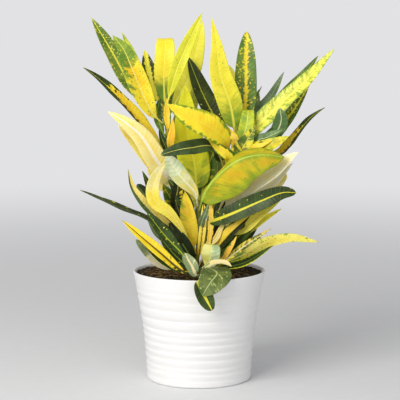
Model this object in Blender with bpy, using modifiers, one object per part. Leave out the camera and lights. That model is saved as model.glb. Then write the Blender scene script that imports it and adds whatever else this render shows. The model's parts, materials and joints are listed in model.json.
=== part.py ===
"""Potted croton: a ribbed white pot, its soil, three woody stems and their long leaves.

Units are metres. The pot stands on z = 0 on its own axis, +Z is up and -Y is the front.
Each leaf is one loft from a round stalk to a folded blade, set off its stem by a hair.
"""
import math

import bpy
import bmesh
from mathutils import Vector

MM = 0.001

# ---- driving dimensions, millimetres -------------------------------------------------
POT_HEIGHT = 140.0
POT_WALL = 4.0
POT_FLOOR = 6.0
POT_SEGMENTS = 44
FOOT_RADIUS = 65.4            # the flat disc the pot stands on
FLOOR_RADIUS = 55.0           # flat part of the floor inside, before it curves up the wall
RIB_DEPTH = 1.3               # how far a groove is cut into the wall
RIB_SWELL = 0.2               # how far the band between two grooves stands out
# height and outside radius down the flared wall
POT_WALL_LINE = [(0.0, 67.0), (16.0, 68.2), (32.0, 69.2), (48.0, 70.6), (64.0, 72.3),
                 (80.0, 74.5), (96.0, 77.1), (111.0, 79.6), (127.0, 82.3), (140.0, 85.0)]
# heights of the turned grooves, top to bottom
POT_GROOVES = [119.0, 109.0, 98.0, 85.0, 71.0, 63.0, 54.0, 44.0, 35.0, 25.0, 17.0, 9.0]

SOIL_EDGE = 137.0             # soil level at the pot wall
SOIL_CROWN = 139.5            # and around the stems
SOIL_GAP = 0.5                # clearance between the soil and the pot
SEAT_GAP = 0.4                # clearance between a leaf stalk and its stem

# stem centre lines with the radius at each point
STEMS = {
    "stem_left": [(-14, 8, 140.4, 3.2), (-24, 11, 205, 2.9), (-36, 9, 280, 2.5),
                  (-45, 2, 352, 2.1)],
    "stem_middle": [(-3, -9, 140.4, 2.6), (-1, -11, 190, 2.3), (-1, -11, 232, 1.9)],
    "stem_right": [(7, 8, 140.4, 3.0), (13, 6, 205, 2.7), (33, 3, 262, 2.4),
                   (51, 0, 306, 2.0)],
    "stem_front": [(2, -31, 141.4, 2.3), (2, -34, 145.0, 2.3), (2, -50, 148.0, 2.1),
                   (1, -70, 147.0, 1.9), (0, -86, 143.8, 1.7)],
}

# ---- leaves --------------------------------------------------------------------------
STALK_RADIUS = 1.2
STALK_SHARE = 0.12            # part of the length that is stalk
BLADE_EDGE = 0.7              # thickness at the margin
MIDRIB_THICK = 1.7            # thickness over the midrib near the stalk
STATIONS = [0.0, 0.07, 0.12, 0.18, 0.28, 0.40, 0.52, 0.64, 0.76, 0.87, 0.95, 1.0]

# where each outline is widest comes from its two exponents
OUTLINES = {"lance": (0.70, 0.85), "strap": (0.42, 0.50), "spoon": (0.95, 0.48),
            "broad": (0.55, 0.62), "ovate": (0.32, 0.78), "oar": (1.4, 0.7),
            "taper": (0.45, 1.25), "paddle": (2.4, 0.8)}

GLAZE_COLOUR = (0.86, 0.86, 0.85)
SOIL_COLOUR = (0.03, 0.02, 0.014)
BARK_COLOUR = (0.19, 0.21, 0.05)
LEAF_COLOURS = {
    "yellow": (0.78, 0.60, 0.03), "cream": (0.80, 0.68, 0.22),
    "lime": (0.48, 0.50, 0.03), "speckled": (0.16, 0.26, 0.03),
    "banded": (0.22, 0.28, 0.03), "green": (0.03, 0.08, 0.015),
    "grey_green": (0.08, 0.14, 0.06),
}

# name, outline, colour, width, fold in degrees, face at the stalk, face at the tip,
# (stem, distance up it), then points along the midrib ending at the tip; all in mm
LEAVES = [
    # crown of the left stem
    ("leaf_left_top_1", "lance", "speckled", 24, 18, (2, -8, 3), (2, -8, 3), ("stem_left", 200),
     [(-84, 18, 372), (-114, 28, 422), (-138, 34, 461)]),
    ("leaf_left_top_2", "lance", "yellow", 29, 20, (1, -9, 2), (1, -9, 2), ("stem_left", 188),
     [(-60, -10, 343), (-74, -16, 373), (-84, -20, 398), (-94, -20, 421), (-108, -18, 439)]),
    ("leaf_left_top_3", "lance", "cream", 13, 12, (1, -8, 3), (1, -8, 3), ("stem_left", 206),
     [(-63, 20, 359), (-76, 34, 388), (-88, 44, 418), (-100, 50, 443)]),
    ("leaf_left_top_4", "lance", "green", 22, 18, (1, -8, 2), (1, -8, 2), ("stem_left", 211),
     [(-56, 16, 363), (-63, 24, 388), (-70, 30, 420)]),
    ("leaf_left_top_5", "strap", "yellow", 26, 4, (0, -9, 0), (0, -3, 9), ("stem_left", 203),
     [(-45, 12, 385), (-43, 17, 424), (-44, 31, 435), (-46, 46, 424)]),
    ("leaf_left_top_6", "lance", "yellow", 18, 14, (1, -9, 1), (1, -9, 1), ("stem_left", 208),
     [(-30, -12, 390), (-18, -12, 420), (4, -2, 467)]),
    ("leaf_left_top_7", "lance", "cream", 25, 10, (1, -9, 1), (1, -9, 1), ("stem_left", 197),
     [(-14, 26, 384), (-3, 36, 422), (5, 46, 457)]),
    # left side, half way up
    ("leaf_left_mid_1", "lance", "banded", 19, 16, (3, -6, 7), (3, -6, 7), ("stem_left", 145),
     [(-58, -2, 313), (-94, -8, 354), (-124, -12, 383), (-145, -14, 399)]),
    ("leaf_left_mid_2", "ovate", "cream", 30, 8, (3, -9, 2), (3, -9, 3), ("stem_left", 104),
     [(-42, -12, 264), (-55, -18, 284), (-72, -22, 312), (-93, -26, 331), (-114, -24, 344)]),
    ("leaf_left_mid_3", "lance", "cream", 21, 8, (3, -9, 2), (3, -9, 3), ("stem_left", 94),
     [(-52, 6, 266), (-77, 7, 299), (-103, 5, 325)]),
    ("leaf_left_mid_4", "lance", "green", 13, 20, (5, -8, 1), (5, -8, 1), ("stem_left", 58),
     [(-53, -2, 223), (-64, -6, 248), (-72, -8, 268)]),
    ("leaf_left_mid_5", "lance", "banded", 20, 16, (2, -9, 1), (2, -9, 1), ("stem_left", 52),
     [(-32, 0, 222), (-46, -8, 251)]),
    # centre of the plant
    ("leaf_middle_1", "lance", "green", 26, 16, (3, -9, 2), (3, -9, 2), ("stem_right", 162),
     [(25, 10, 326), (5, 18, 364), (-15, 24, 413)]),
    ("leaf_middle_2", "ovate", "lime", 41, 12, (1, -9, 1), (1, -9, -1), ("stem_middle", 88),
     [(-6, 0, 277), (-15, -6, 316), (-17, -4, 377)]),
    ("leaf_middle_3", "spoon", "cream", 22, 10, (-1, -9, 3), (-2, -9, 3), ("stem_middle", 83),
     [(-6, -27, 243), (-24, -36, 265), (-40, -37, 289)]),
    ("leaf_middle_4", "strap", "green", 22, 12, (0, -8, 5), (0, -8, 5), ("stem_right", 131),
     [(18, -19, 299), (-11, -45, 300), (-30, -50, 297), (-47, -52, 292)]),
    ("leaf_middle_5", "lance", "yellow", 33, 10, (1, -9, 4), (-1, -9, 2), ("stem_right", 152),
     [(33, -18, 307), (14, -33, 325), (-11, -42, 338), (-39, -44, 354)]),
    ("leaf_middle_6", "broad", "lime", 78, -50, (-6, -6, 5), (1, -8, 4), ("stem_middle", 77),
     [(9, -36, 247), (27, -51, 270), (50, -60, 287), (77, -62, 293), (105, -58, 290)]),
    ("leaf_middle_7", "lance", "yellow", 22, 10, (-2, -9, 1), (-2, -9, 1), ("stem_middle", 22),
     [(-12, -22, 200), (-18, -24, 244)]),
    ("leaf_middle_8", "lance", "green", 19, 16, (-1, -9, 1), (-1, -9, 1), ("stem_middle", 56),
     [(-20, -11, 233), (-39, -13, 258)]),
    ("leaf_middle_9", "strap", "yellow", 9, 6, (1, -9, 0), (1, -9, 0), ("stem_middle", 12),
     [(2, -22, 174), (5, -26, 203), (6, -24, 228)]),
    # left side, low down
    ("leaf_left_low_1", "oar", "yellow", 17, 6, (1, -8, 3), (3, -8, -2), ("stem_middle", 17),
     [(-19, -34, 193), (-37, -46, 219), (-54, -52, 233), (-58, -54, 250), (-52, -52, 268),
      (-41, -48, 283)]),
    ("leaf_left_low_2", "lance", "banded", 16, 20, (5, -7, 3), (6, -7, 1), ("stem_middle", 10),
     [(-29, -22, 185), (-52, -35, 211), (-70, -46, 232), (-83, -50, 252), (-88, -48, 274)]),
    ("leaf_left_low_3", "strap", "grey_green", 24, 10, (2, -9, 3), (3, -9, 3), ("stem_left", 30),
     [(-26, -14, 184), (-43, -19, 208), (-61, -24, 231), (-78, -26, 253)]),
    ("leaf_left_low_4", "lance", "green", 20, 10, (3, -9, 3), (3, -9, 3), ("stem_middle", 5),
     [(-30, -40, 181), (-49, -52, 202), (-64, -60, 220)]),
    ("leaf_left_low_5", "oar", "green", 19, 18, (3, -8, 6), (3, -8, 6), ("stem_front", 44),
     [(-11, -74, 158), (-23, -74, 174), (-42, -72, 194), (-63, -70, 221)]),
    ("leaf_left_low_6", "lance", "banded", 15, 14, (1, -3, 9), (1, -4, 9), ("stem_left", 36),
     [(-63, -10, 205), (-110, -22, 227), (-149, -30, 246)]),
    ("leaf_left_low_7", "lance", "yellow", 16, 18, (4, -9, 6), (4, -9, 5), ("stem_front", 50),
     [(-21, -80, 151), (-48, -74, 173), (-73, -66, 193), (-95, -58, 211)]),
    ("leaf_left_low_8", "oar", "banded", 13, 16, (4, -9, 5), (4, -9, 5), ("stem_front", 38),
     [(-27, -66, 150), (-43, -62, 160), (-58, -58, 174), (-69, -56, 183)]),
    ("leaf_left_low_9", "broad", "grey_green", 26, -14, (3, -7, 7), (3, -5, 8), ("stem_left", 6),
     [(-42, -14, 153), (-59, -20, 164), (-69, -22, 173), (-80, -22, 182)]),
    # crown of the right stem
    ("leaf_right_top_1", "taper", "lime", 32, 10, (0, -9, 1), (1, -9, 1), ("stem_right", 169),
     [(40, -6, 350), (27, -8, 389), (22, -4, 428), (15, 2, 465)]),
    ("leaf_right_top_2", "broad", "speckled", 29, 14, (-1, -9, 1), (-1, -9, 1), ("stem_right", 171),
     [(59, 12, 345), (60, 18, 390), (61, 26, 444)]),
    ("leaf_right_top_3", "strap", "lime", 19, 4, (0, -9, 1), (0, -2, 9), ("stem_right", 148),
     [(57, -18, 316), (61, -17, 336), (62, -9, 345), (63, 2, 340)]),
    ("leaf_right_top_4", "ovate", "yellow", 26, 14, (-5, -9, 3), (-5, -9, 3), ("stem_right", 158),
     [(74, -8, 325), (108, -12, 358), (136, -12, 384), (170, -6, 422)]),
    ("leaf_right_top_5", "lance", "green", 18, 14, (-4, -9, 3), (-4, -9, 3), ("stem_right", 165),
     [(95, 18, 346), (130, 20, 384), (152, 20, 413)]),
    ("leaf_right_top_6", "lance", "grey_green", 14, 14, (-4, -8, 2), (-4, -8, 2), ("stem_right", 167),
     [(74, 30, 338), (94, 41, 362), (110, 46, 392)]),
    ("leaf_right_top_7", "lance", "speckled", 20, 14, (-5, -9, 4), (-5, -9, 4), ("stem_right", 142),
     [(95, 4, 313), (109, 4, 329), (124, 5, 350), (140, 6, 376)]),
    ("leaf_right_top_8", "paddle", "grey_green", 19, 8, (-2, -9, 2), (-2, -9, 1), ("stem_right", 136),
     [(86, -9, 309), (98, -16, 319), (103, -23, 333), (101, -29, 349)]),
    ("leaf_right_top_9", "oar", "green", 14, 14, (-3, -8, 6), (-3, -8, 6), ("stem_right", 124),
     [(70, -21, 304), (86, -25, 312), (104, -29, 321)]),
    ("leaf_right_top_10", "lance", "banded", 15, 12, (-3, -6, 7), (-3, -5, 7), ("stem_right", 128),
     [(97, 4, 287), (112, 4, 299), (125, 4, 315), (141, 4, 334), (160, 6, 348)]),
    # right side, low down
    ("leaf_right_low_1", "strap", "banded", 25, 12, (-2, -9, 3), (-2, -9, 2), ("stem_middle", 62),
     [(18, -27, 207), (41, -38, 217), (80, -45, 235), (103, -45, 244), (121, -43, 244)]),
    ("leaf_right_low_2", "lance", "cream", 28, 12, (-4, -9, 4), (-4, -9, 4), ("stem_right", 67),
     [(39, -18, 232), (64, -25, 252), (94, -33, 272), (123, -52, 296)]),
    ("leaf_right_low_3", "lance", "cream", 19, 12, (-5, -9, 3), (-5, -9, 3), ("stem_right", 57),
     [(52, 4, 216), (90, 6, 248), (120, 6, 277)]),
    ("leaf_right_low_4", "spoon", "lime", 22, 10, (-4, -9, 3), (-4, -9, 3), ("stem_right", 47),
     [(54, 16, 207), (87, 20, 238), (113, 22, 261)]),
    ("leaf_right_low_5", "lance", "banded", 17, 14, (-3, -9, 5), (-3, -9, 5), ("stem_right", 26),
     [(21, -18, 170), (42, -34, 195), (64, -35, 214)]),
    ("leaf_right_low_6", "lance", "green", 21, 14, (-4, -9, 4), (-4, -9, 4), ("stem_right", 20),
     [(33, -10, 168), (54, -24, 190), (80, -30, 220)]),
    ("leaf_right_low_7", "lance", "green", 16, 14, (-4, -9, 4), (-4, -9, 4), ("stem_right", 12),
     [(46, 0, 166), (76, -4, 198)]),
    ("leaf_right_low_8", "lance", "speckled", 12, 12, (-3, -6, 7), (-3, -6, 7), ("stem_front", 12),
     [(29, -38, 156), (58, -42, 177), (90, -44, 199)]),
    ("leaf_right_low_9", "lance", "yellow", 16, 12, (-1, -7, 7), (0, -9, 4), ("stem_right", 6),
     [(28, -12, 150), (52, -20, 160), (80, -24, 176), (115, -22, 184), (152, -16, 178)]),
    # low in front, over the rim
    ("leaf_front_1", "strap", "cream", 24, 6, (0, -9, 2), (0, -3, 9), ("stem_front", 18),
     [(12, -48, 157), (15, -50, 170), (16, -46, 178), (17, -38, 178)]),
    ("leaf_front_2", "broad", "grey_green", 16, 12, (1, -9, 3), (1, -7, 6), ("stem_front", 53),
     [(-5, -89, 150), (-9, -88, 159), (-14, -84, 167), (-17, -77, 173)]),
    ("leaf_front_3", "broad", "speckled", 38, 10, (0, -1, 9), (2, -9, 2), ("stem_front", 28),
     [(12, -58, 151), (22, -77, 148), (14, -97, 140), (4, -103, 125)]),
    ("leaf_front_4", "strap", "banded", 21, 14, (0, -5, 9), (-1, -9, 2), ("stem_front", 59),
     [(0, -94, 139), (6, -99, 125), (16, -101, 106)]),
    ("leaf_front_5", "lance", "cream", 12, 10, (1, -5, 8), (1, -5, 8), ("stem_front", 36),
     [(16, -69, 159), (30, -79, 162), (40, -84, 158)]),
]


def principled(name, colour, roughness, coat=0.0):
    material = bpy.data.materials.new(name)
    material.use_nodes = True
    shader = material.node_tree.nodes["Principled BSDF"]
    shader.inputs["Base Color"].default_value = (*colour, 1.0)
    shader.inputs["Roughness"].default_value = roughness
    shader.inputs["Coat Weight"].default_value = coat
    material.diffuse_color = (*colour, 1.0)
    return material


def add_object(name, mesh, collection, material):
    obj = bpy.data.objects.new(name, mesh)
    collection.objects.link(obj)
    mesh.materials.append(material)
    return obj


def screw_profile(name, profile, segments, collection, material):
    """Turn an (x, z) profile in millimetres about the Z axis."""
    mesh = bpy.data.meshes.new(name)
    verts = [(x * MM, 0.0, z * MM) for x, z in profile]
    edges = [(i, i + 1) for i in range(len(profile) - 1)]
    mesh.from_pydata(verts, edges, [])
    obj = add_object(name, mesh, collection, material)
    screw = obj.modifiers.new("Turn", "SCREW")
    screw.axis = "Z"
    screw.angle = math.tau
    screw.steps = segments
    screw.render_steps = segments
    screw.use_merge_vertices = True
    screw.merge_threshold = 0.00005
    screw.use_smooth_shade = True
    return obj


def wall_radius(height):
    for (z0, r0), (z1, r1) in zip(POT_WALL_LINE, POT_WALL_LINE[1:]):
        if z0 <= height <= z1:
            return r0 + (r1 - r0) * (height - z0) / (z1 - z0)
    return POT_WALL_LINE[-1][1]


def build_pot(collection):
    """Outside down the ribbed wall, under the foot, and up the plain inside."""
    rim = POT_WALL_LINE[-1][1]
    inside = [(0.0, POT_FLOOR), (FLOOR_RADIUS, POT_FLOOR), (wall_radius(POT_FLOOR) - POT_WALL, 14.0)]
    for height in (45.0, 80.0, 111.0, 130.0):
        inside.append((wall_radius(height) - POT_WALL, height))
    lip = [(rim - POT_WALL, POT_HEIGHT - 1.2), (rim - POT_WALL + 1.0, POT_HEIGHT - 0.2),
           (rim - 2.0, POT_HEIGHT), (rim - 0.7, POT_HEIGHT - 0.3), (rim, POT_HEIGHT - 1.4)]
    outside = [(wall_radius(132.0), 132.0)]
    levels = POT_GROOVES + [3.0]
    for groove, below in zip(levels, levels[1:]):
        band = 0.5 * (groove + below)
        outside.append((wall_radius(groove) - RIB_DEPTH, groove))
        outside.append((wall_radius(band) + RIB_SWELL, band))
    foot = [(67.0, 3.0), (66.4, 1.0), (FOOT_RADIUS, 0.0), (0.0, 0.0)]
    return screw_profile("pot", inside + lip + outside + foot, POT_SEGMENTS, collection,
                         principled("white glaze", GLAZE_COLOUR, 0.25, 0.5))


def build_soil(collection):
    """The potting mix filling the pot, a little proud around the stems."""
    profile = [(0.0, SOIL_CROWN), (22.0, SOIL_CROWN - 0.3), (50.0, SOIL_EDGE + 1.0),
               (wall_radius(SOIL_EDGE) - POT_WALL - SOIL_GAP, SOIL_EDGE)]
    for height in (130.0, 111.0, 80.0, 45.0):
        profile.append((wall_radius(height) - POT_WALL - SOIL_GAP, height))
    profile.append((wall_radius(POT_FLOOR) - POT_WALL - SOIL_GAP - 0.3, 15.0))
    profile.append((FLOOR_RADIUS - SOIL_GAP, POT_FLOOR + SOIL_GAP))
    profile.append((0.0, POT_FLOOR + SOIL_GAP))
    return screw_profile("soil", profile, POT_SEGMENTS, collection,
                         principled("potting soil", SOIL_COLOUR, 0.95))


def build_stem(name, points, collection):
    """A tapering woody shoot: a bevelled curve with capped ends, turned into a mesh."""
    curve = bpy.data.curves.new(name + "_line", "CURVE")
    curve.dimensions = "3D"
    curve.bevel_depth = MM
    curve.bevel_resolution = 2
    curve.resolution_u = 4
    curve.use_fill_caps = True
    spline = curve.splines.new("BEZIER")
    spline.bezier_points.add(len(points) - 1)
    for knot, (x, y, z, radius) in zip(spline.bezier_points, points):
        knot.co = (x * MM, y * MM, z * MM)
        knot.radius = radius
        knot.handle_left_type = "AUTO"
        knot.handle_right_type = "AUTO"
    source = bpy.data.objects.new(name + "_line", curve)
    collection.objects.link(source)
    graph = bpy.context.evaluated_depsgraph_get()
    mesh = bpy.data.meshes.new_from_object(source.evaluated_get(graph))
    bpy.data.objects.remove(source)
    mesh.name = name
    shell = bmesh.new()
    shell.from_mesh(mesh)
    bmesh.ops.remove_doubles(shell, verts=shell.verts, dist=0.00001)
    bmesh.ops.recalc_face_normals(shell, faces=shell.faces)
    shell.to_mesh(mesh)
    shell.free()
    mesh.materials.clear()
    return add_object(name, mesh, collection, principled(name + " bark", BARK_COLOUR, 0.6))


def stem_at(name, distance):
    """Centre, direction and radius of a stem at a distance up from its foot."""
    points = STEMS[name]
    for a, b in zip(points, points[1:]):
        step = Vector(b[:3]) - Vector(a[:3])
        if distance <= step.length or b is points[-1]:
            t = distance / step.length
            return Vector(a[:3]) + step * t, step.normalized(), a[3] + (b[3] - a[3]) * t
        distance -= step.length


def midrib(points, count=48):
    """Evenly spaced samples of a smooth curve through the points."""
    padded = [2 * points[0] - points[1]] + points + [2 * points[-1] - points[-2]]
    dense = []
    for i in range(1, len(padded) - 2):
        p0, p1, p2, p3 = padded[i - 1:i + 3]
        for step in range(16):
            t = step / 16.0
            dense.append(0.5 * (2 * p1 + (p2 - p0) * t + (2 * p0 - 5 * p1 + 4 * p2 - p3) * t * t
                                + (3 * p1 - p0 - 3 * p2 + p3) * t * t * t))
    dense.append(points[-1])
    lengths = [0.0]
    for a, b in zip(dense, dense[1:]):
        lengths.append(lengths[-1] + (b - a).length)
    samples = []
    k = 0
    for i in range(count + 1):
        target = lengths[-1] * i / count
        while k < len(lengths) - 2 and lengths[k + 1] < target:
            k += 1
        t = (target - lengths[k]) / (lengths[k + 1] - lengths[k])
        samples.append(dense[k].lerp(dense[k + 1], t))
    return samples


def half_width(share, width, outline):
    """Half the blade width at a share of the whole leaf, stalk included."""
    if share <= STALK_SHARE:
        return STALK_RADIUS
    u = (share - STALK_SHARE) / (1.0 - STALK_SHARE)
    a, b = OUTLINES[outline]
    peak = (a / (a + b)) ** a * (b / (a + b)) ** b
    return max(0.9 * STALK_RADIUS * (1.0 - 0.5 * u), 0.5 * width * u ** a * (1.0 - u) ** b / peak)


def build_leaf(name, outline, colour, width, fold, face_a, face_b, seat, path, collection):
    """Loft six-sided sections along the midrib from the round stalk to the tip."""
    centre, direction, radius = stem_at(*seat)
    away = Vector(path[0]) - centre
    away = (away - direction * away.dot(direction)).normalized()
    start = centre + away * (radius + STALK_RADIUS + SEAT_GAP)
    line = midrib([start] + [Vector(p) for p in path])
    rings = []
    for share in STATIONS:
        at = share * (len(line) - 1)
        k = min(int(at), len(line) - 2)
        point = line[k].lerp(line[k + 1], at - k)
        along = (line[min(k + 2, len(line) - 1)] - line[max(k - 1, 0)]).normalized()
        face = Vector(face_a).normalized().lerp(Vector(face_b).normalized(), share)
        up = (face - along * face.dot(along)).normalized()
        side = along.cross(up)
        half = half_width(share, width, outline)
        grow = min(1.0, max(0.0, (share - 0.07) / 0.15))
        angle = math.radians(fold) * grow
        edge = BLADE_EDGE + (STALK_RADIUS - BLADE_EDGE) * (1.0 - grow)
        thick = (MIDRIB_THICK - 0.7 * share) * grow + 2 * STALK_RADIUS * (1.0 - grow)
        out = half * math.cos(angle)
        lift = half * math.sin(angle)
        ring = [(-out, lift + edge / 2), (0.0, thick / 2), (out, lift + edge / 2),
                (out, lift - edge / 2), (0.0, -thick / 2), (-out, lift - edge / 2)]
        rings.append([(point + side * s + up * n) * MM for s, n in ring])
    shell = bmesh.new()
    rows = [[shell.verts.new(p) for p in ring] for ring in rings]
    for row, after in zip(rows, rows[1:]):
        for i in range(6):
            j = (i + 1) % 6
            shell.faces.new((row[i], row[j], after[j], after[i]))
    shell.faces.new(rows[0][::-1])
    shell.faces.new(rows[-1])
    bmesh.ops.recalc_face_normals(shell, faces=shell.faces)
    mesh = bpy.data.meshes.new(name)
    shell.to_mesh(mesh)
    shell.free()
    material = principled(name + " " + colour.replace("_", " "), LEAF_COLOURS[colour],
                          0.35, 0.2)
    return add_object(name, mesh, collection, material)


def main():
    for obj in list(bpy.data.objects):
        bpy.data.objects.remove(obj, do_unlink=True)
    scene = bpy.context.scene
    plant = bpy.data.collections.new("potted_croton")
    scene.collection.children.link(plant)
    build_pot(plant)
    build_soil(plant)
    for name, points in STEMS.items():
        build_stem(name, points, plant)
    for row in LEAVES:
        build_leaf(*row, plant)


main()
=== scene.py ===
import json
import math

import bmesh
import bpy
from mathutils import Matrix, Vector, noise


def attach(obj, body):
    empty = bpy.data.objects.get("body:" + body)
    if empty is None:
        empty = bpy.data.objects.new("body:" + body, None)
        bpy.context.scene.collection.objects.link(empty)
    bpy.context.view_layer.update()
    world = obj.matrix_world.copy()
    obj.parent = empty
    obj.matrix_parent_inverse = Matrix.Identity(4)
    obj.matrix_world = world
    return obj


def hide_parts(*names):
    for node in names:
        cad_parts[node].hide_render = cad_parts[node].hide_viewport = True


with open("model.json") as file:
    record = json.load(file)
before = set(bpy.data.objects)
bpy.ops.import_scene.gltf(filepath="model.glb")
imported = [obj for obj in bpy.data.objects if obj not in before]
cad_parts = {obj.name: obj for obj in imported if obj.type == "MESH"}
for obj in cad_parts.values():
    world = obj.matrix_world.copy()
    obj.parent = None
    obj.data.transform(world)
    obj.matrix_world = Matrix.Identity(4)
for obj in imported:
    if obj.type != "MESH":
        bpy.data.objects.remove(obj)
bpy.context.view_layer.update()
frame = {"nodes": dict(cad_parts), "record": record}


# ---- Pot ---------------------------------------------------------------------------------
# Slip-cast stoneware, thrown-look: a flared cup with a dozen soft turned grooves under a
# plain lip. It is dipped in a white satin glaze that pools a little in the grooves and
# thins to a bright line on the lip.
MM = 0.001
POT_HEIGHT = 140.0
POT_WALL = 4.0
POT_FLOOR = 6.0
POT_WALL_LINE = [(0, 67), (16, 68.2), (32, 69.2), (48, 70.6), (64, 72.3), (80, 74.5),
                 (96, 77.1), (111, 79.6), (127, 82.3), (140, 85)]
# height of each groove, and how deep it is cut
POT_GROOVES = [(119, 0.6), (109, 0.8), (98, 0.9), (85, 1.5), (71, 1.6), (63, 1.3), (54, 1.5),
               (44, 1.3), (35, 1.3), (25, 1.2), (17, 1.1), (9, 0.8)]
GROOVE_HALF_WIDTH = 3.6
GROOVE_WANDER = 1.3           # how far a groove drifts up and down round the pot
POT_SIDES = 192


def wall_radius(height):
    """Outside radius of the plain flared wall, smooth between the measured heights."""
    for (z0, r0), (z1, r1) in zip(POT_WALL_LINE, POT_WALL_LINE[1:]):
        if z0 <= height <= z1:
            return r0 + (r1 - r0) * (height - z0) / (z1 - z0)
    return POT_WALL_LINE[-1][1]


def grooved_radius(height, turn):
    """The wall radius less the grooves, each of which wanders a little round the pot."""
    radius = wall_radius(height)
    for k, (level, depth) in enumerate(POT_GROOVES):
        drift = noise.noise((math.cos(turn) * 0.9, math.sin(turn) * 0.9, k * 3.7)) * GROOVE_WANDER
        gap = (height - level - drift) / GROOVE_HALF_WIDTH
        cut = math.exp(-gap * gap * 6.0 if gap < 0 else -gap * gap * 0.9)
        radius -= depth * cut * (0.75 + 0.5 * noise.noise((math.cos(turn), math.sin(turn), k * 9.1)))
    return radius


def lathe(name, profile, sides, point_at):
    """A closed turned body. point_at gives the radius and height of a profile point at a turn."""
    shell = bmesh.new()
    rings = []
    for step in range(sides):
        turn = math.tau * step / sides
        ring = []
        for mark in profile:
            radius, height = point_at(mark, turn)
            ring.append(shell.verts.new((radius * math.cos(turn) * MM, radius * math.sin(turn) * MM,
                                         height * MM)))
        rings.append(ring)
    for ring, after in zip(rings, rings[1:] + rings[:1]):
        for k in range(len(profile) - 1):
            shell.faces.new((ring[k], after[k], after[k + 1], ring[k + 1]))
    shell.faces.new([ring[0] for ring in rings[::-1]])
    shell.faces.new([ring[-1] for ring in rings])
    bmesh.ops.recalc_face_normals(shell, faces=shell.faces)
    mesh = bpy.data.meshes.new(name)
    shell.to_mesh(mesh)
    shell.free()
    mesh.shade_smooth()
    piece = bpy.data.objects.new(name, mesh)
    bpy.context.scene.collection.objects.link(piece)
    return piece


def pot_point(mark, turn):
    """Profile marks are ("out", height) on the grooved wall, or plain (radius, height)."""
    if mark[0] == "out":
        return grooved_radius(mark[1], turn), mark[1]
    return mark


rim = POT_WALL_LINE[-1][1]
pot_profile = [(40.0, 1.2), (62.0, 1.2), (63.4, 0.0), (65.4, 0.0), (66.3, 0.5), (66.9, 1.5)]
pot_profile += [("out", 2.5 + 0.9 * k) for k in range(151)]
pot_profile += [(rim - 0.2, 138.9), (rim - 0.3, 139.5), (rim - 1.1, 139.95), (rim - 2.3, 139.9),
                (rim - 3.3, 139.4), (rim - 3.9, 138.4), (wall_radius(134) - POT_WALL, 134.0)]
pot_profile += [(wall_radius(h) - POT_WALL, h) for h in (111.0, 80.0, 45.0, 16.0)]
pot_profile += [(58.0, POT_FLOOR + 1.0), (40.0, POT_FLOOR)]
pot = lathe("glazed_pot", pot_profile, POT_SIDES, pot_point)


def linear(code, alpha=1.0):
    """A colour picked as an sRGB hex value, in the linear values a shader takes."""
    parts = [int(code[k:k + 2], 16) / 255 for k in (1, 3, 5)]
    return tuple(c / 12.92 if c <= 0.04045 else ((c + 0.055) / 1.055) ** 2.4 for c in parts) + (alpha,)


def add(tree, kind, inputs=None, **settings):
    """One node with its settings; inputs are values, or the output sockets of other nodes."""
    made = tree.nodes.new(kind)
    for key, value in settings.items():
        setattr(made, key, value)
    for key, value in (inputs or {}).items():
        if isinstance(value, bpy.types.NodeSocket):
            tree.links.new(value, made.inputs[key])
        else:
            made.inputs[key].default_value = value
    return made


def surface(name, shader_values):
    """A new material with its Principled shader's own values set, and its node tree."""
    material = bpy.data.materials.new(name)
    material.use_nodes = True
    shader = material.node_tree.nodes["Principled BSDF"]
    for key, value in shader_values.items():
        shader.inputs[key].default_value = value
    return material, material.node_tree, shader


# White tin glaze over stoneware: satin, with a faint warm tint where it lies thick, and the
# slow ripple that a dipped glaze keeps.
white_glaze, tree, shader = surface("white satin glaze on stoneware",
                                    {"IOR": 1.5, "Coat Weight": 0.25, "Coat Roughness": 0.12})
place = add(tree, "ShaderNodeTexCoord").outputs["Object"]
GLAZE_RIPPLE = 14 * MM
ripple = add(tree, "ShaderNodeTexNoise", {"Vector": place, "Scale": 1 / GLAZE_RIPPLE, "Detail": 3.0})
cloud = add(tree, "ShaderNodeTexNoise", {"Vector": place, "Scale": 1 / (55 * MM), "Detail": 2.0})
tint = add(tree, "ShaderNodeMix", {0: cloud.outputs["Fac"], 6: linear("#F3F3F4"), 7: linear("#ECEBE8")},
           data_type="RGBA")
tree.links.new(tint.outputs[2], shader.inputs["Base Color"])
sheen = add(tree, "ShaderNodeMapRange", {"Value": ripple.outputs["Fac"], "To Min": 0.26, "To Max": 0.38})
tree.links.new(sheen.outputs[0], shader.inputs["Roughness"])
bump = add(tree, "ShaderNodeBump", {"Height": ripple.outputs["Fac"], "Strength": 0.25, "Distance": 0.4 * MM})
tree.links.new(bump.outputs[0], shader.inputs["Normal"])
pot.data.materials.append(white_glaze)
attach(pot, "root")
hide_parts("pot")


# ---- Soil --------------------------------------------------------------------------------
# Peat potting mix, pressed in almost to the lip: dark crumbs with red-brown coir fibres
# and bits of bark lying on top. It fills the pot to the floor.
SOIL_EDGE = 137.0             # level at the pot wall, a little higher round the stems
SOIL_CROWN = 139.3
SOIL_SIDES = 160
SOIL_SEED = 11


def soil_height(x, y):
    """The crumbly top of the mix at a place, in millimetres."""
    out = min(1.0, math.hypot(x, y) / 80.0)
    lumps = noise.fractal((x * 0.11, y * 0.11, 3.0), 1.0, 2.0, 4) * 1.5
    grains = noise.noise((x * 0.55, y * 0.55, 9.0)) * 0.8
    return SOIL_CROWN + (SOIL_EDGE - SOIL_CROWN) * out ** 2 + lumps + grains - 0.6


def soil_point(mark, turn):
    """Marks are ("top", radius) on the crumbly top, or plain (radius, height)."""
    if mark[0] == "top":
        return mark[1], soil_height(mark[1] * math.cos(turn), mark[1] * math.sin(turn))
    return mark


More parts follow.
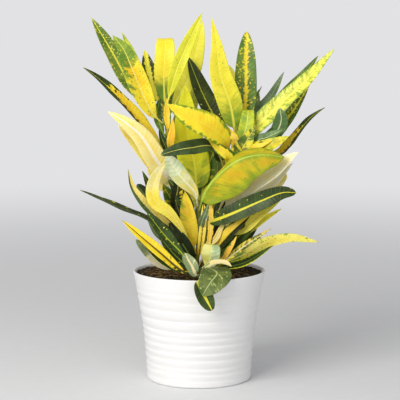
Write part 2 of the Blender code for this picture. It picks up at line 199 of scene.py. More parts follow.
soil_edge = wall_radius(SOIL_EDGE) - POT_WALL - 0.3
soil_profile = [(30.0, POT_FLOOR + 0.8), (57.0, POT_FLOOR + 1.6)]
soil_profile += [(wall_radius(h) - POT_WALL - 0.6, h) for h in (16.0, 45.0, 80.0, 111.0, 133.0)]
soil_profile += [("top", soil_edge - 1.3 * k) for k in range(61)]
soil = lathe("potting_mix", soil_profile, SOIL_SIDES, soil_point)


def draw(seed):
    """A run of repeatable numbers between 0 and 1 from one seed."""
    k = 0
    while True:
        k += 1
        yield (math.sin(seed * 12.9898 + k * 78.233) * 43758.5453) % 1.0


def add_crumb(shell, middle, size, turn):
    """One lump: a small icosphere pushed about by noise."""
    lump = bmesh.ops.create_icosphere(shell, subdivisions=1, radius=1.0)
    for vert in lump["verts"]:
        swell = 1.0 + 0.5 * noise.noise(vert.co * 1.7 + Vector(middle))
        x, y, z = vert.co * swell
        across = x * math.cos(turn) - y * math.sin(turn) * 0.6
        along = x * math.sin(turn) + y * math.cos(turn) * 0.6
        vert.co = (Vector(middle) + Vector((across, along, z * 0.55)) * size) * MM


def add_fibre(shell, start, turn, length, rise, rand):
    """One coir fibre: a thin four-sided wire that wanders and arches over the crumbs."""
    steps = 8
    rings = []
    x, y = start
    for k in range(steps + 1):
        height = soil_height(x, y) + 0.5 + rise * math.sin(math.pi * k / steps)
        reach = 0.24 if 0 < k < steps else 0.08
        rings.append([shell.verts.new(((x - math.sin(turn) * a * reach) * MM,
                                       (y + math.cos(turn) * a * reach) * MM, (height + b * reach) * MM))
                      for a, b in ((1, 0), (0, 1), (-1, 0), (0, -1))])
        turn += (next(rand) - 0.5) * 0.9
        x += math.cos(turn) * length / steps
        y += math.sin(turn) * length / steps
    for ring, after in zip(rings, rings[1:]):
        for k in range(4):
            shell.faces.new((ring[k], ring[(k + 1) % 4], after[(k + 1) % 4], after[k]))
    shell.faces.new(rings[0][::-1])
    shell.faces.new(rings[-1])


def litter(name, seed, count, place_one):
    """A mesh of many small bits scattered over the soil, kept inside the pot wall."""
    shell = bmesh.new()
    rand = draw(seed)
    for _ in range(count):
        radius = 74.0 * math.sqrt(next(rand))
        turn = math.tau * next(rand)
        place_one(shell, radius * math.cos(turn), radius * math.sin(turn), rand)
    bmesh.ops.recalc_face_normals(shell, faces=shell.faces)
    mesh = bpy.data.meshes.new(name)
    shell.to_mesh(mesh)
    shell.free()
    piece = bpy.data.objects.new(name, mesh)
    bpy.context.scene.collection.objects.link(piece)
    return piece


def place_crumb(shell, x, y, rand):
    size = 0.8 + 2.2 * next(rand) ** 2
    add_crumb(shell, (x, y, soil_height(x, y) + size * 0.2), size, math.tau * next(rand))


def place_fibre(shell, x, y, rand):
    inward = 0.82
    add_fibre(shell, (x * inward, y * inward), math.tau * next(rand), 6.0 + 12.0 * next(rand),
              0.6 + 1.6 * next(rand), rand)


crumbs = litter("soil_crumbs", SOIL_SEED, 900, place_crumb)
fibres = litter("coir_fibres", SOIL_SEED + 1, 420, place_fibre)


def earth(name, dark, light, grain_mm, rough):
    """Dry matt organic bits: two browns mixed at the size of the grain."""
    material, tree, shader = surface(name, {"Roughness": rough, "IOR": 1.4, "Specular IOR Level": 0.25})
    place = add(tree, "ShaderNodeTexCoord").outputs["Object"]
    grain = add(tree, "ShaderNodeTexNoise", {"Vector": place, "Scale": 1 / (grain_mm * MM), "Detail": 5.0,
                                             "Roughness": 0.65})
    ramp = add(tree, "ShaderNodeMapRange", {"Value": grain.outputs["Fac"], "From Min": 0.36, "From Max": 0.66})
    tint = add(tree, "ShaderNodeMix", {0: ramp.outputs[0], 6: linear(dark), 7: linear(light)},
               data_type="RGBA")
    tree.links.new(tint.outputs[2], shader.inputs["Base Color"])
    bump = add(tree, "ShaderNodeBump", {"Height": grain.outputs["Fac"], "Strength": 0.8,
                                        "Distance": 0.6 * MM})
    tree.links.new(bump.outputs[0], shader.inputs["Normal"])
    return material


soil.data.materials.append(earth("damp peat mix", "#17130D", "#3C3226", 3.5, 0.95))
crumbs.data.materials.append(earth("peat crumbs and bark chips", "#1E1912", "#5E4E38", 4.0, 0.9))
fibres.data.materials.append(earth("golden-brown coir fibre", "#5E4424", "#BC9A5C", 9.0, 0.8))
for piece in (soil, crumbs, fibres):
    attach(piece, "root")
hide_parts("soil")


# ---- Stems -------------------------------------------------------------------------------
# Young woody shoots, green above and tan at the foot. Each fallen leaf left a raised
# crescent scar, so the shoot swells and narrows along its length.
STEMS = {
    "stem_left": [(-14, 8, 138.5, 3.3), (-24, 11, 205, 2.9), (-36, 9, 280, 2.5), (-45, 2, 352, 1.9)],
    "stem_middle": [(-3, -9, 138.5, 2.7), (-1, -11, 190, 2.3), (-1, -11, 232, 1.7)],
    "stem_right": [(7, 8, 138.5, 3.1), (13, 6, 205, 2.7), (33, 3, 262, 2.4), (51, 0, 306, 1.8)],
    "stem_front": [(2, -31, 138.0, 2.3), (2, -34, 145.0, 2.3), (2, -50, 148, 2.1), (1, -70, 147, 1.9),
                   (0, -86, 143.8, 1.5)],
}
STEM_SIDES = 16
SCAR_SPACING = 9.0


def smooth_line(points, count):
    """Evenly spaced samples of a smooth curve through the points."""
    padded = [2 * points[0] - points[1]] + points + [2 * points[-1] - points[-2]]
    dense = []
    for i in range(1, len(padded) - 2):
        p0, p1, p2, p3 = padded[i - 1:i + 3]
        for step in range(16):
            t = step / 16.0
            dense.append(0.5 * (2 * p1 + (p2 - p0) * t + (2 * p0 - 5 * p1 + 4 * p2 - p3) * t * t
                                + (3 * p1 - p0 - 3 * p2 + p3) * t * t * t))
    dense.append(points[-1])
    lengths = [0.0]
    for a, b in zip(dense, dense[1:]):
        lengths.append(lengths[-1] + (b - a).length)
    samples = []
    k = 0
    for i in range(count + 1):
        target = lengths[-1] * i / count
        while k < len(lengths) - 2 and lengths[k + 1] < target:
            k += 1
        t = (target - lengths[k]) / (lengths[k + 1] - lengths[k])
        samples.append(dense[k].lerp(dense[k + 1], t))
    return samples, lengths[-1]


def build_stem(name, knots):
    """A shoot swept along its line, swelling at the scars, with its end rounded off."""
    line, length = smooth_line([Vector(p[:3]) for p in knots], int(30 + knots[-1][2] * 0.25))
    radii, _ = smooth_line([Vector((p[3], 0, i * 10)) for i, p in enumerate(knots)], len(line) - 1)
    shell = bmesh.new()
    rings = []
    for k, point in enumerate(line):
        along = (line[min(k + 1, len(line) - 1)] - line[max(k - 1, 0)]).normalized()
        side = along.cross(Vector((0, 1, 0.2))).normalized()
        front = along.cross(side)
        run = length * k / (len(line) - 1)
        radius = radii[k].x * (1.0 if k < len(line) - 1 else 0.35)
        ring = []
        for step in range(STEM_SIDES):
            turn = math.tau * step / STEM_SIDES
            # the scars climb the shoot in a spiral, five to two turns
            ridge = math.cos(math.tau * run / SCAR_SPACING + 0.4 * step) ** 8
            swell = 1.0 + 0.09 * ridge + 0.05 * noise.noise(point * 0.2 + Vector((turn, 0, 0)))
            ring.append(shell.verts.new((point + (side * math.cos(turn) + front * math.sin(turn))
                                         * radius * swell) * MM))
        rings.append(ring)
    for ring, after in zip(rings, rings[1:]):
        for k in range(STEM_SIDES):
            shell.faces.new((ring[k], ring[(k + 1) % STEM_SIDES], after[(k + 1) % STEM_SIDES], after[k]))
    shell.faces.new(rings[0][::-1])
    shell.faces.new(rings[-1])
    bmesh.ops.recalc_face_normals(shell, faces=shell.faces)
    mesh = bpy.data.meshes.new(name)
    shell.to_mesh(mesh)
    shell.free()
    mesh.shade_smooth()
    piece = bpy.data.objects.new(name, mesh)
    bpy.context.scene.collection.objects.link(piece)
    return piece


def bark(name, low, high, scar):
    """Green bark that browns towards the foot, with cork-coloured scar patches and fine streaks."""
    material, tree, shader = surface(name, {"IOR": 1.45, "Coat Weight": 0.1, "Coat Roughness": 0.3})
    place = add(tree, "ShaderNodeTexCoord").outputs["Object"]
    height = add(tree, "ShaderNodeSeparateXYZ", {0: place}).outputs["Z"]
    climb = add(tree, "ShaderNodeMapRange", {"Value": height, "From Min": 0.145, "From Max": 0.24})
    stretch = add(tree, "ShaderNodeMapping", {"Vector": place, "Scale": (1.0, 1.0, 0.18)})
    streak = add(tree, "ShaderNodeTexNoise", {"Vector": stretch.outputs[0], "Scale": 1 / (1.6 * MM),
                                              "Detail": 4.0})
    patch = add(tree, "ShaderNodeTexNoise", {"Vector": place, "Scale": 1 / (6 * MM), "Detail": 3.0})
    corky = add(tree, "ShaderNodeMapRange", {"Value": patch.outputs["Fac"], "From Min": 0.52, "From Max": 0.68,
                                             "To Max": 0.8})
    tone = add(tree, "ShaderNodeMath", {0: climb.outputs[0], 1: streak.outputs["Fac"]}, operation="ADD")
    tone = add(tree, "ShaderNodeMapRange", {"Value": tone.outputs[0], "From Min": 0.35, "From Max": 1.6})
    skin = add(tree, "ShaderNodeMix", {0: tone.outputs[0], 6: linear(low), 7: linear(high)},
               data_type="RGBA")
    skin = add(tree, "ShaderNodeMix", {0: corky.outputs[0], 6: skin.outputs[2], 7: linear(scar)},
               data_type="RGBA")
    tree.links.new(skin.outputs[2], shader.inputs["Base Color"])
    rough = add(tree, "ShaderNodeMapRange", {"Value": patch.outputs["Fac"], "To Min": 0.42, "To Max": 0.65})
    tree.links.new(rough.outputs[0], shader.inputs["Roughness"])
    bump = add(tree, "ShaderNodeBump", {"Height": streak.outputs["Fac"], "Strength": 0.5,
                                        "Distance": 0.4 * MM})
    tree.links.new(bump.outputs[0], shader.inputs["Normal"])
    return material


green_bark = bark("green bark of a croton shoot", "#7C7A2E", "#A9B03A", "#8C7A48")
dark_bark = bark("dark green bark of a low shoot", "#2A3520", "#4C6330", "#3B3A2A")
for name, knots in STEMS.items():
    shoot = build_stem("shoot_" + name[5:], knots)
    shoot.data.materials.append(dark_bark if name == "stem_front" else green_bark)
    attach(shoot, "root")
    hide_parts(name)


# ---- How a leaf is made ------------------------------------------------------------------
# A croton leaf is one leathery blade, 0.5 mm thick and wavy at the margin, on a round
# stalk. The midrib is sunk on the face and raised on the back, and the blade folds and
# curls about it. Each blade is lofted from its stalk at the stem to its tip.
STALK_RADIUS = 1.1
STALK_SHARE = 0.12            # part of the length that is stalk
FIT_GAP = 0.4
BLADE_THICK = 0.5
RIB_THICK = 1.3
STATIONS = 60
COLUMNS = 9                   # on each half of the blade
# where each outline is widest comes from its two exponents
OUTLINES = {"lance": (0.70, 0.85), "strap": (0.42, 0.50), "spoon": (0.95, 0.48),
            "broad": (0.55, 0.62), "ovate": (0.32, 0.78), "oar": (1.4, 0.7),
            "taper": (0.45, 1.25), "paddle": (2.4, 0.8)}


def stem_at(name, distance):
    """Centre, direction and radius of a stem at a distance up from its foot."""
    knots = STEMS[name]
    foot = Vector(knots[0][:3])
    foot.z = 141.4 if name == "stem_front" else 140.4
    points = [foot] + [Vector(p[:3]) for p in knots[1:]]
    for k, (a, b) in enumerate(zip(points, points[1:])):
        step = b - a
        if distance <= step.length or k == len(points) - 2:
            t = distance / step.length
            return a + step * t, step.normalized(), knots[k][3] * (1 - t) + knots[k + 1][3] * t
        distance -= step.length


def half_width(share, width, outline):
    """Half the blade width at a share of the whole leaf, stalk included."""
    if share <= STALK_SHARE:
        return STALK_RADIUS
    u = (share - STALK_SHARE) / (1.0 - STALK_SHARE)
    a, b = OUTLINES[outline]
    peak = (a / (a + b)) ** a * (b / (a + b)) ** b
    return max(0.45 * STALK_RADIUS * (1.0 - 0.6 * u), 0.5 * width * u ** a * (1.0 - u) ** b / peak)


def build_leaf(name, outline, width, fold, face_a, face_b, seat, path, wave=0.07, curl=0.0, seed=1):
    """Loft rings of face and back points along the midrib, from the stalk to the tip.

    wave is the height of the margin's ripple and curl the roll of the margins, as shares of
    the half width. The face and back carry the same chart: along the leaf, and across it.
    """
    centre, direction, radius = stem_at(*seat)
    away = Vector(path[0]) - centre
    away = (away - direction * away.dot(direction)).normalized()
    start = centre + away * (radius + STALK_RADIUS * 0.4)
    line, length = smooth_line([start] + [Vector(p) for p in path], STATIONS)
    across = [(k / COLUMNS) ** 0.9 for k in range(COLUMNS, 0, -1)]
    across = [-s for s in across] + [0.0] + across[::-1]
    shell = bmesh.new()
    chart = shell.loops.layers.uv.new("Leaf")
    measure = shell.loops.layers.uv.new("Measure")
    ripples = length / (2.1 * width + 16.0)
    rings = []
    for k, point in enumerate(line):
        share = k / STATIONS
        along = (line[min(k + 1, STATIONS)] - line[max(k - 1, 0)]).normalized()
        face = Vector(face_a).normalized().lerp(Vector(face_b).normalized(), share)
        up = (face - along * face.dot(along)).normalized()
        side = along.cross(up)
        half = half_width(share, width, outline)
        grow = min(1.0, max(0.0, (share - 0.08) / 0.16))
        grow = grow * grow * (3 - 2 * grow)
        angle = math.radians(fold) * grow
        thick_rib = (RIB_THICK - 0.8 * share) * grow
        face_row = []
        back_row = []
        for s in across:
            size = abs(s)
            ripple = math.sin(math.tau * ripples * share + seed * 1.7 + (1.9 if s > 0 else 0.0))
            ripple += 0.6 * noise.noise((share * 9.0, seed * 3.1, 5.0 if s > 0 else 0.0))
            lift = half * (math.sin(angle) * (math.sqrt(size * size + 0.02) - 0.14)
                           + grow * wave * ripple * size ** 2.2 * min(1.0, 5.0 * (1.0 - share))
                           - grow * curl * size ** 3)
            reach = s * half * math.cos(angle) * (1.0 - 0.12 * abs(curl) * size * size)
            edge = max(0.35, 1.0 - size ** 6)
            round_half = STALK_RADIUS * math.sqrt(max(0.0, 1.0 - size * size)) * (1.0 - grow)
            sink = 0.35 * grow * math.exp(-(s * half / 0.9) ** 2) * (1.0 - 0.7 * share)
            swell = thick_rib * math.exp(-(s * half / 1.1) ** 2)
            top = lift + BLADE_THICK / 2 * edge * grow + round_half - sink
            bottom = lift - BLADE_THICK / 2 * edge * grow - round_half - swell
            face_row.append((point + side * reach + up * top, s, half))
            back_row.append((point + side * reach + up * bottom, s, half))
        ring = [(shell.verts.new(p * MM), share, s, s * h, 0.0) for p, s, h in face_row]
        ring += [(shell.verts.new(p * MM), share, s, s * h, 1.0) for p, s, h in back_row[::-1]]
        rings.append(ring)

    def skin(corners):
        made = shell.faces.new([c[0] for c in corners])
        made.smooth = True
        for loop, (_, share, s, run, back) in zip(made.loops, corners):
            loop[chart].uv = (share, 0.5 + 0.5 * s + back)
            loop[measure].uv = (share * length / 100.0, run / 100.0)

    for ring, after in zip(rings, rings[1:]):
        for k in range(len(ring)):
            j = (k + 1) % len(ring)
            skin((ring[k], after[k], after[j], ring[j]))
    skin(rings[0])
    skin(rings[-1][::-1])
    bmesh.ops.recalc_face_normals(shell, faces=shell.faces)
    mesh = bpy.data.meshes.new(name)
    shell.to_mesh(mesh)
    shell.free()
    piece = bpy.data.objects.new(name, mesh)
    bpy.context.scene.collection.objects.link(piece)
    return piece


# ---- How a leaf is coloured --------------------------------------------------------------
# Croton blades are waxy and variegated: green tissue and yellow tissue share one blade, in
# bands along the midrib, feathered patches that follow the side veins, and fine dust.
# One painter makes every pattern; each leaf says how much of each it has.
GREENS = {"fresh": ("#8EA62C", "#668A22"), "leaf": ("#5F7C26", "#3F5E1C"), "deep": ("#3D5420", "#283A18"),
          "black": ("#2C3816", "#1C2610"), "lime": ("#B4BE2A", "#96A822"), "grey": ("#81936A", "#5E764C"),
          "pale": ("#C6D0A4", "#9FB07E")}
YELLOWS = {"bright": ("#F8E436", "#F4D228"), "gold": ("#F6D636", "#EEBC2A"), "lemon": ("#F4E84C", "#E8DA38"),
           "char": ("#D8DA30", "#C2C628"), "butter": ("#F8E47C", "#F4D65C"), "cream": ("#FAEAB0", "#F2D88C"),
           "mustard": ("#CDB828", "#A8921E")}
SIDE_VEIN_SPACING = 5.5
MEASURES = [("Gold", 0.5), ("Gold at rib", 0.0), ("Rib spread", 4.0), ("Gold at margin", 0.0),
            ("Gold at tip", 0.0), ("Gold at base", 0.0), ("Gold to one side", 0.0), ("Gold on veins", 0.0),
            ("Blotch", 0.5), ("Blotch size", 9.0), ("Softness", 0.12), ("Gold dust", 0.0),
            ("Green dust", 0.0), ("Dust size", 1.6), ("Rib width", 1.2), ("Seed", 0.0), ("Back paleness", 0.5)]
TINTS = ["Green", "Deep green", "Yellow", "Warm yellow", "Rib"]


def build_painter():
    """The shared pattern of all blades, as one node group with its measures as inputs."""
    group = bpy.data.node_groups.new("variegated croton blade", "ShaderNodeTree")
    for label in TINTS:
        group.interface.new_socket(label, in_out="INPUT", socket_type="NodeSocketColor")
    for label, value in MEASURES:
        socket = group.interface.new_socket(label, in_out="INPUT", socket_type="NodeSocketFloat")
        socket.default_value = value
    group.interface.new_socket("Colour", in_out="OUTPUT", socket_type="NodeSocketColor")
    group.interface.new_socket("Roughness", in_out="OUTPUT", socket_type="NodeSocketFloat")
    group.interface.new_socket("Relief", in_out="OUTPUT", socket_type="NodeSocketVector")
    given = add(group, "NodeGroupInput").outputs

    def maths(operation, a, b=0.0, clamp=False):
        return add(group, "ShaderNodeMath", {0: a, 1: b}, operation=operation, use_clamp=clamp).outputs[0]

    def ramp(value, start, end, low=0.0, high=1.0):
        made = add(group, "ShaderNodeMapRange", {"Value": value, "From Min": start, "From Max": end,
                                                 "To Min": low, "To Max": high},
                   interpolation_type="SMOOTHSTEP")
        return made.outputs[0]

    def blend(share, a, b):
        return add(group, "ShaderNodeMix", {0: share, 6: a, 7: b}, data_type="RGBA").outputs[2]

    # the chart: share along, place across from -1 to 1, and which side of the blade it is
    chart = add(group, "ShaderNodeSeparateXYZ",
                {0: add(group, "ShaderNodeUVMap", uv_map="Leaf").outputs[0]}).outputs
    back = maths("GREATER_THAN", chart["Y"], 1.0001)
    over = maths("SUBTRACT", maths("MULTIPLY", maths("SUBTRACT", chart["Y"], back), 2.0), 1.0)
    from_rib = maths("ABSOLUTE", over)
    mm = add(group, "ShaderNodeSeparateXYZ",
             {0: add(group, "ShaderNodeUVMap", uv_map="Measure").outputs[0]}).outputs
    along_mm = maths("MULTIPLY", mm["X"], 100.0)
    across_mm = maths("ABSOLUTE", maths("MULTIPLY", mm["Y"], 100.0))
    right = maths("GREATER_THAN", over, 0.0)

    # side veins leave the midrib at about sixty degrees, so patterns are drawn on slanted axes
    wobble = add(group, "ShaderNodeTexNoise", {"Vector": add(group, "ShaderNodeTexCoord").outputs["Object"],
                                               "Scale": 1 / (16 * MM), "Detail": 2.0}).outputs["Fac"]
    slant = maths("SUBTRACT", along_mm, maths("MULTIPLY", across_mm, 0.55))
    slant = maths("ADD", slant, maths("MULTIPLY", wobble, 5.0))
    lane = maths("ADD", maths("MULTIPLY", right, 37.0), maths("MULTIPLY", given["Seed"], 13.0))
    vein_place = maths("ADD", maths("DIVIDE", slant, SIDE_VEIN_SPACING), maths("MULTIPLY", lane, 0.137))
    vein = maths("ADD", maths("MULTIPLY", maths("COSINE", maths("MULTIPLY", vein_place, math.tau)), 0.5), 0.5)
    vein = maths("POWER", vein, 2.5)
    slanted = add(group, "ShaderNodeCombineXYZ",
                  {"X": maths("DIVIDE", slant, given["Blotch size"]), "Z": lane,
                   "Y": maths("DIVIDE", maths("MULTIPLY", across_mm, 0.45), given["Blotch size"])}).outputs[0]
    blotch = add(group, "ShaderNodeTexNoise", {"Vector": slanted, "Scale": 1.0, "Detail": 4.0,
                                               "Roughness": 0.6}).outputs["Fac"]
    blotch = maths("MULTIPLY", maths("SUBTRACT", blotch, 0.5), 4.0)

    # how yellow the tissue is, before it is cut into patches
    gold = given["Gold"]
    for label, amount in (
            ("Gold at rib", ramp(across_mm, given["Rib spread"], 0.0)),
            ("Gold at margin", ramp(from_rib, 0.55, 0.95)),
            ("Gold at tip", ramp(chart["X"], 0.55, 1.0)),
            ("Gold at base", ramp(chart["X"], 0.5, 0.1)),
            ("Gold to one side", over),
            ("Gold on veins", vein),
            ("Blotch", blotch)):
        gold = maths("ADD", gold, maths("MULTIPLY", given[label], amount))
    mask = ramp(gold, maths("SUBTRACT", 0.5, given["Softness"]), maths("ADD", 0.5, given["Softness"]))

    # dust: small round cells of the other colour
    speckle = add(group, "ShaderNodeCombineXYZ",
                  {"X": maths("DIVIDE", along_mm, given["Dust size"]), "Z": lane,
                   "Y": maths("DIVIDE", across_mm, given["Dust size"])}).outputs[0]
    cells = add(group, "ShaderNodeTexVoronoi", {"Vector": speckle, "Scale": 1.0, "Randomness": 0.9})
    grain = add(group, "ShaderNodeSeparateColor", {0: cells.outputs["Color"]}).outputs
    spot = ramp(cells.outputs["Distance"], maths("MULTIPLY", grain["Green"], 0.62), 0.12)
    gold_spot = maths("MULTIPLY", maths("LESS_THAN", grain["Red"], given["Gold dust"]), spot)
    green_spot = maths("MULTIPLY", maths("GREATER_THAN", grain["Red"],
                                         maths("SUBTRACT", 1.0, given["Green dust"])), spot)
    mask = maths("ADD", mask, maths("MULTIPLY", gold_spot, 0.8), clamp=True)
    mask = maths("SUBTRACT", mask, maths("MULTIPLY", green_spot, 0.85), clamp=True)

    # two tones of each tissue, then the midrib line, then the paler back
    tone = ramp(maths("ADD", wobble, maths("MULTIPLY", vein, 0.12)), 0.36, 0.66)
    green = blend(tone, given["Green"], given["Deep green"])
    yellow = blend(ramp(maths("ADD", wobble, maths("MULTIPLY", from_rib, -0.35)), 0.55, 0.2),
                   given["Warm yellow"], given["Yellow"])
    colour = blend(mask, green, yellow)
    rib_edge = maths("MULTIPLY", given["Rib width"], maths("SUBTRACT", 1.15, chart["X"]))
    rib = ramp(across_mm, rib_edge, maths("MULTIPLY", rib_edge, 0.45))
    colour = blend(maths("MULTIPLY", rib, 0.92), colour, given["Rib"])
    hair_vein = maths("MULTIPLY", maths("POWER", vein, 6.0), 0.07)
    colour = blend(hair_vein, colour, given["Rib"])
    dull = blend(0.5, colour, (0.30, 0.36, 0.20, 1.0))
    colour = blend(maths("MULTIPLY", back, given["Back paleness"]), colour, dull)

    fine = add(group, "ShaderNodeTexNoise", {"Vector": add(group, "ShaderNodeTexCoord").outputs["Object"],
                                             "Scale": 1 / (1.4 * MM), "Detail": 3.0}).outputs["Fac"]
    rough = maths("ADD", ramp(fine, 0.3, 0.7, 0.30, 0.44), maths("MULTIPLY", back, 0.18))
    height = maths("ADD", maths("MULTIPLY", vein, -0.7), maths("MULTIPLY", fine, 0.35))
    relief = add(group, "ShaderNodeBump", {"Height": height, "Strength": 0.55, "Distance": 0.35 * MM})
    result = add(group, "NodeGroupOutput", {"Colour": colour, "Roughness": rough})
    group.links.new(relief.outputs[0], result.inputs["Relief"])
    return group


painter = build_painter()


def blade_material(name, green, yellow, rib, **measures):
    """The waxy variegated blade of one leaf."""
    material, tree, shader = surface(name + " waxy variegated blade",
                                     {"IOR": 1.4, "Specular IOR Level": 0.3, "Coat Weight": 0.04,
                                      "Coat Roughness": 0.25, "Subsurface Weight": 0.12, "Subsurface Scale": 1.5 * MM,
                                      "Subsurface Radius": (1.0, 0.9, 0.2)})
    paint = add(tree, "ShaderNodeGroup", node_tree=painter)
    for label, code in zip(TINTS, (*GREENS.get(green, green), *YELLOWS.get(yellow, yellow), rib)):
        paint.inputs[label].default_value = linear(code)
    for label, value in measures.items():
        paint.inputs[label.replace("_", " ").capitalize()].default_value = value
    tree.links.new(paint.outputs["Colour"], shader.inputs["Base Color"])
    tree.links.new(paint.outputs["Roughness"], shader.inputs["Roughness"])
    tree.links.new(paint.outputs["Relief"], shader.inputs["Normal"])
    return material


# ---- Crown of the left shoot -----------------------------------------------------------
# The youngest leaves, still upright: two large green and gold ones lean out to the left, and
# clear yellow ones stand behind them. Stalks sit close together near the shoot's tip.
LEFT_CROWN = [
    ("left_top_1", "lance", 24, 18, (2, -8, 3), (2, -8, 3), ("stem_left", 200),
     [(-84, 18, 372), (-114, 28, 422), (-138, 34, 461)],
     dict(green=("#7C9236", "#4E6E24"), yellow=("#F2E456", "#E2D640"), rib="#E6DE4A", gold=0.05,
          gold_at_rib=0.35, rib_spread=3.0, gold_dust=0.35, dust_size=1.7, rib_width=2.8, blotch=0.4,
          blotch_size=5.0)),
    ("left_top_2", "lance", 29, 20, (1, -9, 2), (1, -9, 2), ("stem_left", 188),
     [(-60, -10, 343), (-74, -16, 373), (-84, -20, 398), (-94, -20, 421), (-108, -18, 439)],
     dict(green=("#8DA538", "#5F842A"), yellow=("#F4E03A", "#F0C424"), rib="#E6E06A", gold=0.75,
          gold_at_tip=-1.3, gold_at_base=0.5, gold_to_one_side=0.3, blotch=0.45, blotch_size=7.0,
          softness=0.25, gold_dust=0.08, green_dust=0.2, dust_size=1.4, rib_width=2.0)),
    ("left_top_3", "lance", 13, 12, (1, -8, 3), (1, -8, 3), ("stem_left", 206),
     [(-63, 20, 359), (-76, 34, 388), (-88, 44, 418), (-100, 50, 443)],
     dict(green="fresh", yellow="char", rib="#DDE06A", gold=0.55, blotch=0.4, softness=0.4)),
    ("left_top_4", "lance", 22, 18, (1, -8, 2), (1, -8, 2), ("stem_left", 211),
     [(-56, 16, 363), (-63, 24, 388), (-70, 30, 420)],
     dict(green="deep", yellow="lemon", rib="#F6EE5A", gold=0.05, gold_at_rib=0.9, rib_spread=6.0,
          blotch=0.45, blotch_size=5.0, gold_dust=0.15)),
    ("left_top_5", "strap", 26, 4, (0, -9, 0), (0, -3, 9), ("stem_left", 203),
     [(-45, 12, 385), (-43, 17, 424), (-44, 31, 435), (-46, 46, 424)],
     dict(green="fresh", yellow=("#FBEA42", "#F4DC2C"), rib="#F6EC58", gold=1.1, gold_at_base=-1.5,
          softness=0.4, blotch=0.25, blotch_size=6.0, rib_width=1.6)),
    ("left_top_6", "lance", 18, 14, (1, -9, 1), (1, -9, 1), ("stem_left", 208),
     [(-30, -12, 390), (-18, -12, 420), (4, -2, 467)],
     dict(green="lime", yellow=("#DFDE3C", "#CFCC2E"), rib="#F0EC5A", gold=0.9, blotch=0.35,
          softness=0.4, green_dust=0.08)),
    ("left_top_7", "lance", 25, 10, (1, -9, 1), (1, -9, 1), ("stem_left", 197),
     [(-14, 26, 384), (-3, 36, 422), (5, 46, 457)],
     dict(green="lime", yellow=("#F4EC52", "#E6DE3C"), rib="#F8F07A", gold=0.95, gold_at_base=-0.5,
          softness=0.4, blotch=0.2)),
    ("crown_inner_1", "lance", 11, 14, (1, -9, 1), (1, -9, 1), ("stem_left", 172),
     [(-47, 0, 319), (-53, 2, 338), (-50, 6, 360)],
     dict(green="leaf", yellow="char", rib="#8FA63A", gold=0.1, blotch=0.5, blotch_size=5.0)),
    ("crown_inner_2", "lance", 11, 10, (-1, -9, 1), (-1, -9, 1), ("stem_left", 178),
     [(-40, -4, 325), (-41, -2, 342), (-41, 0, 360)],
     dict(green="leaf", yellow="gold", rib="#E6D23A", gold=0.8, gold_at_margin=-0.5, blotch=0.5,
          blotch_size=5.0)),
    ("crown_inner_3", "lance", 10, 8, (-1, -9, 2), (-1, -9, 2), ("stem_left", 150),
     [(-36, -14, 304), (-34, -17, 319), (-33, -18, 335)],
     dict(green="leaf", yellow=("#F8CC34", "#EAAE24"), rib="#F2D060", gold=1.1, gold_at_margin=-0.3)),
]


def grow(rows, slots):
    """Make, colour and fasten a group of leaves. Each stands for its node, if it has one."""
    for k, (name, outline, width, fold, face_a, face_b, seat, path, paint) in enumerate(rows):
        shape = {key: paint.pop(key) for key in ("wave", "curl") if key in paint}
        leaf = build_leaf("blade_" + name, outline, width, fold, face_a, face_b, seat, path,
                          seed=len(name) + 3 * k, **shape)
        leaf.data.materials.append(blade_material(name.replace("_", " "), seed=float(k + len(name)),
                                                  **paint))
        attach(leaf, "root")
        if "leaf_" + name in frame["nodes"]:
            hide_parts("leaf_" + name)


leaf_slots = {row["node"]: row["material_slot"] for row in frame["record"]["subparts"]}
grow(LEFT_CROWN, leaf_slots)


